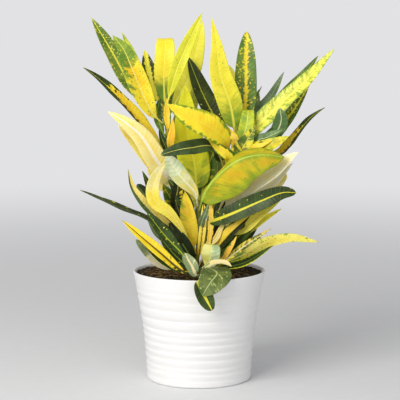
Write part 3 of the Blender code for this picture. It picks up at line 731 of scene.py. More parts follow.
# ---- Left side, half way up ------------------------------------------------------------
# One long banded leaf and two pale butter-yellow ones reach out to the left; two small
# darker leaves stand close to the shoot under them.
LEFT_SIDE = [
    ("left_mid_1", "lance", 19, 16, (3, -6, 7), (3, -6, 7), ("stem_left", 145),
     [(-58, -2, 313), (-94, -8, 354), (-124, -12, 383), (-145, -14, 399)],
     dict(green="deep", yellow=("#FADC3C", "#F2C42C"), rib="#EDE04A", gold=0.75, gold_at_rib=0.5,
          rib_spread=2.5, gold_at_tip=-1.5, gold_to_one_side=0.55, gold_at_margin=-0.55, blotch=0.45,
          blotch_size=6.0, softness=0.06)),
    ("left_mid_2", "ovate", 30, 8, (3, -9, 2), (3, -9, 3), ("stem_left", 104),
     [(-42, -12, 264), (-55, -18, 284), (-72, -22, 312), (-93, -26, 331), (-114, -24, 344)],
     dict(green="lime", yellow=("#FEEC98", "#FBDF70"), rib="#FFF6E0", gold=1.0, blotch=0.2,
          gold_at_margin=0.2, rib_width=4.5)),
    ("left_mid_3", "lance", 21, 8, (3, -9, 2), (3, -9, 3), ("stem_left", 94),
     [(-52, 6, 266), (-77, 7, 299), (-103, 5, 325)],
     dict(green="lime", yellow="butter", rib="#F6EBC0", gold=1.0, blotch=0.1, rib_width=2.5)),
    ("left_mid_4", "lance", 13, 20, (5, -8, 1), (5, -8, 1), ("stem_left", 58),
     [(-53, -2, 223), (-64, -6, 248), (-72, -8, 268)],
     dict(green="deep", yellow="gold", rib="#A8B23A", gold=0.0, gold_at_base=0.2)),
    ("left_mid_5", "lance", 20, 16, (2, -9, 1), (2, -9, 1), ("stem_left", 52),
     [(-32, 0, 222), (-46, -8, 251)],
     dict(green="leaf", yellow="mustard", rib="#C9C23A", gold=0.35, blotch=0.5)),
    ("side_inner_1", "lance", 9, 14, (2, -9, 2), (2, -9, 2), ("stem_left", 138),
     [(-42, 0, 296), (-47, 1, 308), (-51, 2, 322)],
     dict(green="deep", yellow="char", rib="#7C8C3A", gold=0.0, blotch=0.3)),
    ("side_inner_2", "lance", 15, 16, (1, -9, 2), (1, -9, 2), ("stem_left", 70),
     [(-30, -8, 226), (-27, -14, 246), (-25, -16, 268)],
     dict(green="black", yellow="gold", rib="#C9B83A", gold=0.1, gold_to_one_side=0.5, blotch=0.5,
          blotch_size=6.0)),
]
grow(LEFT_SIDE, leaf_slots)


# ---- Centre ----------------------------------------------------------------------------
# Broad leaves facing forward hide the middle shoot: a large yellow-green one, a dark one
# lying across, and a pale one with its back turned.
CENTRE = [
    ("middle_1", "lance", 26, 16, (3, -9, 2), (3, -9, 2), ("stem_right", 162),
     [(25, 10, 326), (5, 18, 364), (-15, 24, 413)],
     dict(green=("#3C4C18", "#2A3614"), yellow="lemon", rib="#B4B636", gold=-0.2, gold_dust=0.06,
          dust_size=1.8, rib_width=1.7, blotch=0.2)),
    ("middle_2", "ovate", 41, 12, (1, -9, 1), (1, -9, -1), ("stem_middle", 88),
     [(-6, 0, 277), (-15, -6, 316), (-17, -4, 377)],
     dict(green=("#7C9A24", "#4E7218"), yellow=("#DCDC26", "#D2C81C"), rib="#DADB3E", gold=0.9,
          gold_at_base=-0.45, gold_on_veins=0.1, blotch=0.5, blotch_size=9.0, softness=0.4,
          rib_width=1.8)),
    ("middle_3", "spoon", 22, 10, (-1, -9, 3), (-2, -9, 3), ("stem_middle", 83),
     [(-6, -27, 243), (-24, -36, 265), (-40, -37, 289)],
     dict(green=("#DFE6BE", "#B9CA96"), yellow="butter", rib="#EEF0C4", gold=0.45, gold_at_tip=-0.6,
          gold_at_base=0.6, softness=0.4, blotch=0.3, rib_width=2.2)),
    ("middle_4", "strap", 22, 12, (0, -8, 5), (0, -8, 5), ("stem_right", 131),
     [(18, -19, 299), (-11, -45, 300), (-30, -50, 297), (-47, -52, 292)],
     dict(green=("#42582C", "#2A3E1E"), yellow="lemon", rib="#D8D25E", gold=-0.2, gold_dust=0.05,
          dust_size=5.0, rib_width=1.4, blotch=0.2)),
    ("middle_5", "lance", 33, 10, (1, -9, 4), (-1, -9, 2), ("stem_right", 152),
     [(33, -18, 307), (14, -33, 325), (-11, -42, 338), (-39, -44, 354)],
     dict(green=("#8FA82A", "#6E9224"), yellow=("#FBE436", "#F8D22A"), rib="#F8DE44", gold=1.0,
          gold_at_margin=-0.6, gold_at_base=-0.3, gold_at_tip=-0.2, blotch=0.5, blotch_size=6.0,
          softness=0.2)),
    ("middle_6", "broad", 78, -50, (-6, -6, 5), (1, -8, 4), ("stem_middle", 77),
     [(9, -36, 247), (27, -51, 270), (50, -60, 287), (77, -62, 293), (105, -58, 290)],
     dict(green=("#A9B42A", "#8A9E22"), yellow=("#DCCB24", "#DDB622"), rib="#B9CE4E", gold=0.7,
          gold_at_rib=-0.7, rib_spread=9.0, gold_at_margin=-0.55, gold_at_base=-0.35, blotch=0.45,
          blotch_size=13.0, softness=0.45, green_dust=0.12, dust_size=2.0, rib_width=3.4)),
    ("middle_7", "lance", 22, 10, (-2, -9, 1), (-2, -9, 1), ("stem_middle", 22),
     [(-12, -22, 200), (-18, -24, 244)],
     dict(green="fresh", yellow=("#EFD03A", "#DDB82E"), rib="#E2C92A", gold=0.9, gold_to_one_side=0.5,
          blotch=0.4, softness=0.3)),
    ("middle_8", "lance", 19, 16, (-1, -9, 1), (-1, -9, 1), ("stem_middle", 56),
     [(-20, -11, 233), (-39, -13, 258)],
     dict(green="deep", yellow="gold", rib="#B4C24A", gold=-0.2, rib_width=1.6)),
    # its yellow is painted brighter than the leaf's own: painted light that makes up for the shade it stands in among
    # the centre leaves
    ("middle_9", "strap", 9, 6, (1, -9, 0), (1, -9, 0), ("stem_middle", 12),
     [(2, -22, 174), (5, -26, 203), (6, -24, 228)],
     dict(green="black", yellow=("#FFE45E", "#FACC3E"), rib="#8A7A2A", gold=0.95, gold_at_rib=-0.7, rib_spread=1.5, blotch=0.6,
          blotch_size=4.0, rib_width=0.8)),
    ("centre_strip_1", "strap", 8, 8, (-1, -9, 0), (-1, -9, 0), ("stem_middle", 6),
     [(11, -20, 172), (15, -26, 205), (14, -30, 242)],
     dict(green="black", yellow=("#FFE056", "#F8C83A"), rib="#F6DE8C", gold=0.9, gold_at_margin=-0.5, blotch=0.6,
          blotch_size=5.0, rib_width=1.0)),
    ("centre_strip_3", "lance", 15, 14, (-1, -9, 3), (-1, -9, 3), ("stem_right", 126),
     [(38, -20, 285), (24, -24, 298), (10, -26, 312)],
     dict(green="leaf", yellow=("#F2DC3A", "#E8C42C"), rib="#E8DE5A", gold=0.85, gold_at_margin=-0.6,
          blotch=0.5, blotch_size=6.0, softness=0.1)),
    ("centre_strip_4", "lance", 10, 8, (-1, -9, 1), (-1, -9, 1), ("stem_right", 142),
     [(46, -14, 306), (37, -16, 319), (29, -16, 332)],
     dict(green="leaf", yellow=("#F8D448", "#F2BE30"), rib="#F8E488", gold=1.0, gold_at_margin=-0.35)),
    ("centre_diamond", "broad", 9, 12, (1, -9, 2), (1, -9, 2), ("stem_middle", 46),
     [(4, -34, 208), (8, -42, 219), (11, -46, 229)],
     dict(green="grey", yellow="cream", rib="#B9C98C", gold=0.0, gold_at_margin=0.35)),
    ("centre_dark_1", "lance", 14, 14, (-2, -9, 1), (-2, -9, 1), ("stem_right", 22),
     [(20, -8, 176), (29, -12, 206), (42, -16, 244)],
     dict(green="black", yellow="char", rib="#8C9A3C", gold=-0.1, gold_at_margin=0.35, blotch=0.3)),
    ("centre_dark_2", "lance", 13, 14, (-3, -9, 1), (-3, -9, 1), ("stem_right", 34),
     [(33, -10, 180), (47, -12, 206), (59, -14, 246)],
     dict(green="black", yellow="gold", rib="#C8B43A", gold=0.0, gold_to_one_side=-0.5, blotch=0.4)),
    ("centre_cream", "lance", 8, 8, (-3, -9, 2), (-3, -9, 2), ("stem_middle", 28),
     [(20, -24, 182), (27, -28, 196), (35, -30, 211)],
     dict(green="leaf", yellow=("#F2DC84", "#E2C45A"), rib="#F6ECC4", gold=0.95, gold_at_margin=-0.3)),
    ("centre_back_1", "lance", 22, 14, (1, -9, 2), (1, -9, 2), ("stem_middle", 80),
     [(8, 4, 262), (18, 2, 292), (22, -2, 326)],
     dict(green="leaf", yellow="char", rib="#C9CE42", gold=0.3, blotch=0.6, blotch_size=7.0,
          softness=0.25)),
]
grow(CENTRE, leaf_slots)


# ---- Left side, low down ---------------------------------------------------------------
# Older, darker leaves near the soil, one with a half painted near-black as shade, a yellow ribbon that
# folds back on itself, and slim banded ones leaning out over the rim.
LEFT_LOW = [
    ("left_low_1", "oar", 17, 6, (1, -8, 3), (3, -8, -2), ("stem_middle", 17),
     [(-19, -34, 193), (-37, -46, 219), (-54, -52, 233), (-58, -54, 250), (-52, -52, 268),
      (-41, -48, 283)],
     dict(green=("#FCF2B4", "#F6E68E"), yellow=("#FBE85A", "#F8DC42"), rib="#F8EA84", gold=1.2,
          gold_at_tip=-1.6, softness=0.35, blotch=0.25, blotch_size=6.0)),
    ("left_low_2", "lance", 16, 20, (5, -7, 3), (6, -7, 1), ("stem_middle", 10),
     [(-29, -22, 185), (-52, -35, 211), (-70, -46, 232), (-83, -50, 252), (-88, -48, 274)],
     dict(green=("#61784A", "#46602E"), yellow="butter", rib="#EEE2A0", gold=0.5, gold_to_one_side=0.8, blotch=0.2,
          softness=0.06, rib_width=1.4)),
    # its second colour is a near-black green laid on one half: painted shade, the shadow that half lies in
    ("left_low_3", "strap", 24, 10, (2, -9, 3), (3, -9, 3), ("stem_left", 30),
     [(-26, -14, 184), (-43, -19, 208), (-61, -24, 231), (-78, -26, 253)],
     dict(green=("#6E8456", "#52683E"), yellow=("#2C3A1C", "#222E16"), rib="#66784A", gold=0.5,
          gold_to_one_side=1.2, blotch=0.1, softness=0.06)),
    ("left_low_4", "lance", 20, 10, (3, -9, 3), (3, -9, 3), ("stem_middle", 5),
     [(-30, -40, 181), (-49, -52, 202), (-64, -60, 220)],
     dict(green=("#33401C", "#222C12"), yellow="gold", rib="#66743A", gold=-0.3, rib_width=1.4)),
    ("left_low_5", "oar", 19, 18, (3, -8, 6), (3, -8, 6), ("stem_front", 44),
     [(-11, -74, 158), (-23, -74, 174), (-42, -72, 194), (-63, -70, 221)],
     dict(green="deep", yellow="lemon", rib="#A9BC30", gold=-0.1, gold_dust=0.08, blotch=0.2,
          dust_size=1.8, rib_width=1.8)),
    ("left_low_6", "lance", 15, 14, (1, -3, 9), (1, -4, 9), ("stem_left", 36),
     [(-63, -10, 205), (-110, -22, 227), (-149, -30, 246)],
     dict(green=("#4C5830", "#343E22"), yellow="char", rib="#6E7A44", gold=0.0, gold_at_tip=0.3,
          blotch=0.5, blotch_size=4.0, softness=0.05, gold_dust=0.15, dust_size=1.6)),
    ("left_low_7", "lance", 16, 18, (4, -9, 6), (4, -9, 5), ("stem_front", 50),
     [(-21, -80, 151), (-48, -74, 173), (-73, -66, 193), (-95, -58, 211)],
     dict(green="deep", yellow=("#F8DC34", "#F2CC28"), rib="#33361A", gold=0.85, gold_at_base=-0.4,
          blotch=0.5, blotch_size=6.0, softness=0.05, rib_width=2.6)),
    ("left_low_8", "oar", 13, 16, (4, -9, 5), (4, -9, 5), ("stem_front", 38),
     [(-27, -66, 150), (-43, -62, 160), (-58, -58, 174), (-69, -56, 183)],
     dict(green="deep", yellow=("#F4DA38", "#E8C62A"), rib="#E2D440", gold=0.45, gold_to_one_side=1.0,
          blotch=0.25, softness=0.06)),
    ("left_low_9", "broad", 26, -14, (3, -7, 7), (3, -5, 8), ("stem_left", 6),
     [(-42, -14, 153), (-59, -20, 164), (-69, -22, 173), (-80, -22, 182)],
     dict(green=("#8C9C70", "#6C8052"), yellow=("#FAF0C4", "#F0DEA0"), rib="#EDE4B4", gold=0.9,
          gold_at_tip=-1.1, softness=0.2, blotch=0.25)),
    ("low_dark_3", "lance", 20, 12, (2, -9, 2), (2, -9, 2), ("stem_middle", 8),
     [(-9, -26, 158), (-22, -34, 180), (-38, -38, 206)],
     dict(green="black", yellow="char", rib="#6E8A36", gold=-0.2, rib_width=1.6)),
    ("low_dark_4", "lance", 15, 14, (3, -9, 5), (3, -9, 5), ("stem_front", 34),
     [(-12, -58, 152), (-30, -60, 168), (-50, -60, 192)],
     dict(green="deep", yellow="lemon", rib="#8CA23A", gold=-0.1, gold_dust=0.06, rib_width=1.6)),
    ("low_pale_1", "broad", 11, 8, (1, -8, 5), (1, -8, 5), ("stem_front", 30),
     [(-12, -48, 152), (-22, -52, 156), (-32, -54, 160)],
     dict(green="grey", yellow="cream", rib="#E9E6B8", gold=0.6, blotch=0.4)),
    ("low_dark_1", "lance", 17, 12, (2, -9, 2), (2, -9, 2), ("stem_left", 16),
     [(-28, -10, 168), (-40, -16, 192), (-52, -20, 222)],
     dict(green="black", yellow="char", rib="#5A6A32", gold=-0.2, rib_width=1.4)),
    ("low_dark_2", "lance", 15, 12, (1, -9, 1), (1, -9, 1), ("stem_left", 24),
     [(-18, -14, 178), (-22, -18, 204), (-30, -20, 232)],
     dict(green="black", yellow="gold", rib="#A89A34", gold=0.0, gold_to_one_side=0.6, blotch=0.4)),
]
grow(LEFT_LOW, leaf_slots)


# ---- Crown of the right shoot ----------------------------------------------------------
# Upright yellow-green and dusted leaves, with a wide yellow one reaching right and small
# grey-green ones turned to show their backs.
RIGHT_CROWN = [
    ("right_top_1", "taper", 32, 10, (0, -9, 1), (1, -9, 1), ("stem_right", 169),
     [(40, -6, 350), (27, -8, 389), (22, -4, 428), (15, 2, 465)],
     dict(green=("#9DB22A", "#7C9A24"), yellow=("#EEE040", "#DFD030"), rib="#E8E052", gold=0.95,
          gold_at_base=-0.9, softness=0.45, blotch=0.35, blotch_size=7.0, green_dust=0.06,
          rib_width=2.0)),
    ("right_top_2", "broad", 29, 14, (-1, -9, 1), (-1, -9, 1), ("stem_right", 171),
     [(59, 12, 345), (60, 18, 390), (61, 26, 444)],
     dict(green=("#6E8C2E", "#4A6E22"), yellow=("#F2DC34", "#EBC828"), rib="#F4DC38", gold=0.15,
          gold_at_rib=0.55, rib_spread=5.0, gold_at_base=0.35, gold_at_margin=-0.3, blotch=0.6, blotch_size=3.5,
          gold_dust=0.3, dust_size=1.9, rib_width=2.0)),
    ("right_top_3", "strap", 19, 4, (0, -9, 1), (0, -2, 9), ("stem_right", 148),
     [(57, -18, 316), (61, -17, 336), (62, -9, 345), (63, 2, 340)],
     dict(green=("#9DB63A", "#7A9A2C"), yellow="char", rib="#D2DA5E", gold=0.3, gold_at_tip=0.4,
          gold_on_veins=0.12, softness=0.4, blotch=0.4, rib_width=1.8)),
    ("right_top_4", "ovate", 26, 14, (-5, -9, 3), (-5, -9, 3), ("stem_right", 158),
     [(74, -8, 325), (108, -12, 358), (136, -12, 384), (170, -6, 422)],
     dict(green=("#9CB440", "#7A9A34"), yellow=("#EFEC62", "#DEDA46"), rib="#F2EC66", gold=0.7,
          gold_at_margin=-0.3, gold_at_base=-0.1, blotch=0.5, blotch_size=5.0, green_dust=0.25,
          dust_size=1.5, softness=0.25, rib_width=2.6)),
    ("right_top_5", "lance", 18, 14, (-4, -9, 3), (-4, -9, 3), ("stem_right", 165),
     [(95, 18, 346), (130, 20, 384), (152, 20, 413)],
     dict(green="leaf", yellow="lemon", rib="#B9BF4A", gold=0.0, blotch=0.3)),
    ("right_top_6", "lance", 14, 14, (-4, -8, 2), (-4, -8, 2), ("stem_right", 167),
     [(74, 30, 338), (94, 41, 362), (110, 46, 392)],
     dict(green="grey", yellow="lemon", rib="#8FA67A", gold=-0.2, rib_width=1.6)),
    ("right_top_7", "lance", 20, 14, (-5, -9, 4), (-5, -9, 4), ("stem_right", 142),
     [(95, 4, 313), (109, 4, 329), (124, 5, 350), (140, 6, 376)],
     dict(green=("#5C7A2A", "#40601F"), yellow="lemon", rib="#E8DC3C", gold=0.1, gold_at_rib=0.5,
          gold_dust=0.5, dust_size=1.5, blotch=0.4, blotch_size=4.0, rib_width=2.4)),
    ("right_top_8", "paddle", 19, 8, (-2, -9, 2), (-2, -9, 1), ("stem_right", 136),
     [(86, -9, 309), (98, -16, 319), (103, -23, 333), (101, -29, 349)],
     dict(green=("#728C58", "#50703F"), yellow="cream", rib="#DDE2B4", gold=-0.1, rib_width=2.4)),
    ("right_top_9", "oar", 14, 14, (-3, -8, 6), (-3, -8, 6), ("stem_right", 124),
     [(70, -21, 304), (86, -25, 312), (104, -29, 321)],
     dict(green=("#6E8A52", "#4A6A3A"), yellow="lemon", rib="#D5DB9A", gold=0.0, blotch=0.3, rib_width=1.4)),
    ("right_top_10", "lance", 15, 12, (-3, -6, 7), (-3, -5, 7), ("stem_right", 128),
     [(97, 4, 287), (112, 4, 299), (125, 4, 315), (141, 4, 334), (160, 6, 348)],
     dict(green="deep", yellow=("#F8D638", "#F0C02C"), rib="#EEDC44", gold=0.6, gold_at_rib=0.4,
          rib_spread=2.5, gold_at_tip=-1.2, gold_at_base=0.3, gold_to_one_side=-0.5,
          gold_at_margin=-0.35, blotch=0.4, blotch_size=6.0, softness=0.06)),
    ("crown_wide", "lance", 26, 12, (-2, -8, 6), (-2, -8, 6), ("stem_right", 116),
     [(58, -22, 289), (84, -34, 300), (112, -36, 314)],
     dict(green=("#A6B22E", "#869A28"), yellow=("#E8DA3A", "#DFB932"), rib="#C6D058", gold=0.6,
          blotch=0.6, blotch_size=7.0, softness=0.3)),
    ("crown_edge", "lance", 10, 10, (-8, -4, 2), (-8, -4, 2), ("stem_right", 152),
     [(62, 8, 318), (66, 16, 343), (80, 24, 374)],
     dict(green="leaf", yellow="char", rib="#9CAE4A", gold=0.1)),
    ("crown_short", "lance", 10, 8, (-2, -8, 5), (-2, -8, 5), ("stem_right", 122),
     [(66, -28, 297), (79, -34, 303), (93, -34, 310)],
     dict(green="fresh", yellow=("#F4D63C", "#EABE2C"), rib="#F4E46A", gold=0.95,
          gold_at_margin=-0.3)),
    ("crown_streaked", "lance", 24, 12, (-1, -9, 2), (-1, -9, 2), ("stem_right", 116),
     [(48, -20, 286), (58, -24, 304), (70, -26, 326)],
     dict(green=("#5E7A2E", "#3E5A22"), yellow=("#E8D83A", "#D8BE2A"), rib="#CFD65A", gold=0.45,
          blotch=0.6, blotch_size=5.0, softness=0.2)),
]
grow(RIGHT_CROWN, leaf_slots)


# ---- Right side, low down --------------------------------------------------------------
# A dark leaf with a bright rib over two cream ones, and slim dark ones fanning out above
# the soil.
RIGHT_LOW = [
    ("right_low_1", "strap", 25, 12, (-2, -9, 3), (-2, -9, 2), ("stem_middle", 62),
     [(18, -27, 207), (41, -38, 217), (80, -45, 235), (103, -45, 244), (121, -43, 244)],
     dict(green=("#3C5224", "#2A3C1A"), yellow="bright", rib="#E6DC34", gold=-0.2, rib_width=2.8,
          blotch=0.2, gold_dust=0.025, dust_size=1.6)),
    # this cream leaf is painted paler than its own colour: painted light that makes up for the shadow of the broad
    # leaf above it
    ("right_low_2", "lance", 28, 12, (-4, -9, 4), (-4, -9, 4), ("stem_right", 67),
     [(39, -18, 232), (64, -25, 252), (94, -33, 272), (123, -52, 296)],
     dict(green="pale", yellow=("#FFF8D0", "#FFEFA8"), rib="#FFE8A4", gold=1.0, blotch=0.2,
          blotch_size=6.0, softness=0.3)),
    ("right_low_3", "lance", 19, 12, (-5, -9, 3), (-5, -9, 3), ("stem_right", 57),
     [(52, 4, 216), (90, 6, 248), (120, 6, 277)],
     dict(green="pale", yellow=("#FFF9DE", "#FFF2C0"), rib="#FFF2D0", gold=1.0, blotch=0.1)),
    ("right_low_4", "spoon", 22, 10, (-4, -9, 3), (-4, -9, 3), ("stem_right", 47),
     [(54, 16, 207), (87, 20, 238), (113, 22, 261)],
     dict(green="pale", yellow=("#FCF2A4", "#F2DE70"), rib="#F4EEB0", gold=0.9, blotch=0.25,
          softness=0.3)),
    ("right_low_5", "lance", 17, 14, (-3, -9, 5), (-3, -9, 5), ("stem_right", 26),
     [(21, -18, 170), (42, -34, 195), (64, -35, 214)],
     dict(green="black", yellow=("#F6D84A", "#EFC638"), rib="#C8B23A", gold=0.5, gold_to_one_side=-1.1,
          blotch=0.2, softness=0.06)),
    ("right_low_6", "lance", 21, 14, (-4, -9, 4), (-4, -9, 4), ("stem_right", 20),
     [(33, -10, 168), (54, -24, 190), (80, -30, 220)],
     dict(green="deep", yellow="lemon", rib="#9CB036", gold=-0.2, rib_width=2.0)),
    ("right_low_7", "lance", 16, 14, (-4, -9, 4), (-4, -9, 4), ("stem_right", 12),
     [(46, 0, 166), (76, -4, 198)],
     dict(green="deep", yellow="lemon", rib="#7F9A3C", gold=-0.2, gold_on_veins=0.1)),
    ("right_low_8", "lance", 12, 12, (-3, -6, 7), (-3, -6, 7), ("stem_front", 12),
     [(29, -38, 156), (58, -42, 177), (90, -44, 199)],
     dict(green=("#66742A", "#4A5620"), yellow=("#EAD44A", "#D8B83A"), rib="#E2E4B8", gold=0.5,
          blotch=0.4, blotch_size=5.0, rib_width=1.8, softness=0.1)),
    ("right_low_9", "lance", 16, 12, (-1, -7, 7), (0, -9, 4), ("stem_right", 6),
     [(28, -12, 150), (52, -20, 160), (80, -24, 176), (115, -22, 184), (152, -16, 178)],
     dict(green="fresh", yellow=("#F6EC76", "#F2DE58"), rib="#F2EC7C", gold=1.0, gold_at_base=-1.9,
          gold_to_one_side=0.25, green_dust=0.25, dust_size=1.4, blotch=0.6, blotch_size=6.0, softness=0.2)),
    ("low_striped", "lance", 14, 14, (-2, -6, 7), (-2, -6, 7), ("stem_front", 8),
     [(40, -30, 149), (64, -32, 157), (93, -34, 176)],
     dict(green="deep", yellow="char", rib="#7C943A", gold=0.0, gold_at_margin=0.8, blotch=0.3,
          gold_on_veins=0.3)),
    ("low_gold_tip", "lance", 18, 10, (-3, -9, 4), (-3, -9, 4), ("stem_right", 52),
     [(52, -22, 196), (76, -30, 216), (106, -32, 238)],
     dict(green="lime", yellow=("#FAEE62", "#F0DE4C"), rib="#F2EC7A", gold=0.9, gold_at_base=-0.4,
          blotch=0.4, softness=0.3)),
    ("low_gold_tip_2", "lance", 12, 10, (-3, -8, 5), (-3, -8, 5), ("stem_right", 40),
     [(54, -18, 190), (80, -24, 207), (104, -26, 222)],
     dict(green="leaf", yellow="lemon", rib="#E8E46A", gold=0.7, gold_at_base=-0.6, blotch=0.4)),
    ("low_orange", "lance", 9, 8, (-2, -9, 3), (-2, -9, 3), ("stem_front", 10),
     [(28, -36, 160), (40, -44, 177), (47, -46, 190)],
     dict(green="leaf", yellow=("#F6C644", "#E8AE38"), rib="#F2CC6A", gold=0.8,
          gold_to_one_side=0.6)),
]
grow(RIGHT_LOW, leaf_slots)


# ---- Front, over the rim ---------------------------------------------------------------
# Short leaves of the low shoot: two stand up showing pale backs, a broad one and a dark
# one with a wide yellow rib hang over the lip of the pot.
FRONT = [
    ("front_1", "strap", 24, 6, (0, -9, 2), (0, -3, 9), ("stem_front", 18),
     [(12, -48, 157), (15, -50, 170), (16, -46, 178), (17, -38, 178)],
     dict(green=("#CDD8A8", "#9CB07C"), yellow=("#E8E48C", "#D6D26A"), rib="#DDE2A0", gold=0.45,
          gold_to_one_side=-1.0, gold_at_base=0.5, gold_on_veins=0.15, softness=0.12, blotch=0.25)),
    ("front_2", "broad", 16, 12, (1, -9, 3), (1, -7, 6), ("stem_front", 53),
     [(-5, -89, 150), (-9, -88, 159), (-14, -84, 167), (-17, -77, 173)],
     dict(green=("#A9B48A", "#7E9062"), yellow="cream", rib="#EAD9A4", gold=0.1, gold_at_base=0.3,
          rib_width=3.0)),
    ("front_3", "broad", 38, 10, (0, -1, 9), (2, -9, 2), ("stem_front", 28),
     [(12, -58, 151), (22, -77, 148), (14, -97, 140), (4, -103, 125)],
     dict(green=("#748244", "#506432"), yellow=("#C9CF7A", "#AEB860"), rib="#C2CC84", gold=0.2, blotch=0.65,
          blotch_size=5.0, rib_width=2.0, gold_dust=0.08, dust_size=1.6)),
    ("front_4", "strap", 21, 14, (0, -5, 9), (-1, -9, 2), ("stem_front", 59),
     [(0, -94, 139), (6, -99, 125), (16, -101, 106)],
     dict(green="deep", yellow="lemon", rib="#E6DC48", gold=0.0, blotch=0.45, blotch_size=4.0,
          gold_at_margin=0.1, rib_width=4.4)),
    ("front_5", "lance", 12, 10, (1, -5, 8), (1, -5, 8), ("stem_front", 36),
     [(16, -69, 159), (30, -79, 162), (40, -84, 158)],
     dict(green="fresh", yellow="cream", rib="#EDE6B0", gold=0.9, gold_at_base=-0.5, blotch=0.35)),
]
grow(FRONT, leaf_slots)


# ---- Behind ----------------------------------------------------------------------------
# The far side of the plant: each shoot carries leaves all the way round, so older banded and
# dark ones and some clear yellow ones spread backwards from the three main shoots.
BEHIND = [
    ("behind_1", "lance", 24, 14, (0, 8, 4), (0, 8, 4), ("stem_left", 190),
     [(-44, 30, 340), (-42, 54, 372), (-36, 72, 402)],
     dict(green="leaf", yellow="lemon", rib="#E8E04A", gold=0.15, gold_dust=0.5, dust_size=1.5)),
    ("behind_2", "lance", 26, 12, (1, 8, 3), (1, 8, 3), ("stem_left", 172),
     [(-28, 34, 318), (-14, 58, 346), (-4, 76, 380)],
     dict(green="fresh", yellow="char", rib="#E2E04A", gold=0.7, blotch=0.5, softness=0.3)),
    ("behind_3", "lance", 24, 14, (-1, 8, 4), (-1, 8, 4), ("stem_left", 122),
     [(-36, 36, 262), (-38, 60, 288), (-40, 78, 318)],
     dict(green="deep", yellow="gold", rib="#EEDC3C", gold=0.3, gold_at_rib=0.6, blotch=0.5,
          gold_at_margin=-0.4)),
    ("behind_4", "lance", 22, 12, (-3, 8, 4), (-3, 8, 4), ("stem_left", 96),
     [(-46, 28, 246), (-58, 48, 266), (-66, 62, 288)],
     dict(green="lime", yellow="butter", rib="#F6EBC0", gold=0.9, blotch=0.3)),
    ("behind_5", "lance", 22, 14, (0, 8, 5), (0, 8, 5), ("stem_left", 70),
     [(-28, 40, 214), (-26, 60, 236), (-22, 76, 264)],
     dict(green="deep", yellow="lemon", rib="#B9C23A", gold=-0.1, gold_dust=0.2, dust_size=1.6)),
    ("behind_6", "lance", 18, 14, (-2, 7, 6), (-2, 7, 6), ("stem_left", 44),
     [(-44, 30, 190), (-60, 48, 204), (-78, 58, 222)],
     dict(green="black", yellow="gold", rib="#C8BC3A", gold=0.1, gold_to_one_side=0.5, blotch=0.4)),
    ("behind_7", "lance", 17, 14, (-2, 7, 6), (-2, 7, 6), ("stem_left", 18),
     [(-34, 34, 162), (-52, 52, 176), (-68, 62, 196)],
     dict(green="deep", yellow="lemon", rib="#9AAE3A", gold=-0.1, blotch=0.3)),
    ("behind_8", "lance", 26, 12, (0, 8, 3), (0, 8, 3), ("stem_right", 166),
     [(50, 26, 340), (46, 50, 368), (40, 72, 400)],
     dict(green="lime", yellow="lemon", rib="#F2EC6A", gold=0.9, blotch=0.35, softness=0.35)),
    ("behind_9", "lance", 20, 14, (2, 8, 3), (2, 8, 3), ("stem_right", 150),
     [(60, 24, 312), (70, 46, 338), (78, 66, 368)],
     dict(green="leaf", yellow="lemon", rib="#E0DC40", gold=0.1, gold_dust=0.55, dust_size=1.5)),
    ("behind_10", "lance", 24, 12, (-1, 8, 4), (-1, 8, 4), ("stem_right", 130),
     [(30, 32, 292), (20, 56, 318), (12, 76, 350)],
     dict(green="fresh", yellow="bright", rib="#F2E04A", gold=0.8, gold_at_margin=-0.5, blotch=0.4)),
    ("behind_11", "lance", 22, 14, (2, 8, 4), (2, 8, 4), ("stem_right", 106),
     [(54, 30, 262), (68, 52, 288), (78, 68, 316)],
     dict(green="deep", yellow="gold", rib="#EEDC3C", gold=0.35, gold_to_one_side=0.5, blotch=0.5)),
    ("behind_12", "lance", 24, 12, (0, 8, 4), (0, 8, 4), ("stem_right", 86),
     [(24, 36, 240), (24, 60, 266), (26, 78, 298)],
     dict(green="leaf", yellow="char", rib="#C9CE42", gold=0.2, blotch=0.6, softness=0.3)),
    ("behind_13", "lance", 20, 12, (2, 8, 4), (2, 8, 4), ("stem_right", 62),
     [(42, 32, 212), (60, 52, 232), (76, 64, 256)],
     dict(green="pale", yellow="cream", rib="#F6EBC0", gold=0.95, blotch=0.2)),
    ("behind_14", "lance", 20, 14, (0, 8, 5), (0, 8, 5), ("stem_right", 36),
     [(20, 38, 186), (22, 58, 208), (24, 76, 236)],
     dict(green="black", yellow="lemon", rib="#A8B43A", gold=-0.1, gold_dust=0.1, dust_size=1.6)),
    ("behind_15", "lance", 17, 14, (2, 7, 6), (2, 7, 6), ("stem_right", 18),
     [(36, 34, 164), (56, 50, 178), (74, 58, 200)],
     dict(green="deep", yellow="gold", rib="#D8CC3A", gold=0.2, gold_at_rib=0.5, blotch=0.5)),
    ("behind_16", "lance", 24, 12, (0, 8, 4), (0, 8, 4), ("stem_middle", 72),
     [(-4, 22, 232), (-8, 46, 256), (-10, 70, 290)],
     dict(green="fresh", yellow="lemon", rib="#F0E85A", gold=0.7, blotch=0.5, softness=0.3)),
    ("behind_17", "lance", 20, 14, (0, 8, 5), (0, 8, 5), ("stem_middle", 40),
     [(0, 22, 192), (4, 48, 212), (4, 72, 238)],
     dict(green="deep", yellow="lemon", rib="#9AAE3A", gold=-0.1, blotch=0.3)),
]
grow(BEHIND, leaf_slots)


# ---- Studio ------------------------------------------------------------------------------
# A pale floor that fades into the light of the room, one large soft light high on the
# left, a softer one overhead for the leaves, and a weak one in front.
ROOM = "#E2E2E4"
ROOM_LIGHT = 0.54             # the room lights the plant less than its pale walls would suggest
room_light = bpy.data.worlds.new("pale room")
bpy.context.scene.world = room_light
room_light.use_nodes = True
seen = add(room_light.node_tree, "ShaderNodeLightPath").outputs["Is Camera Ray"]
glow = add(room_light.node_tree, "ShaderNodeMapRange", {"Value": seen, "To Min": ROOM_LIGHT, "To Max": 1.0})
background = room_light.node_tree.nodes["Background"]
background.inputs["Color"].default_value = linear(ROOM)
room_light.node_tree.links.new(glow.outputs[0], background.inputs["Strength"])

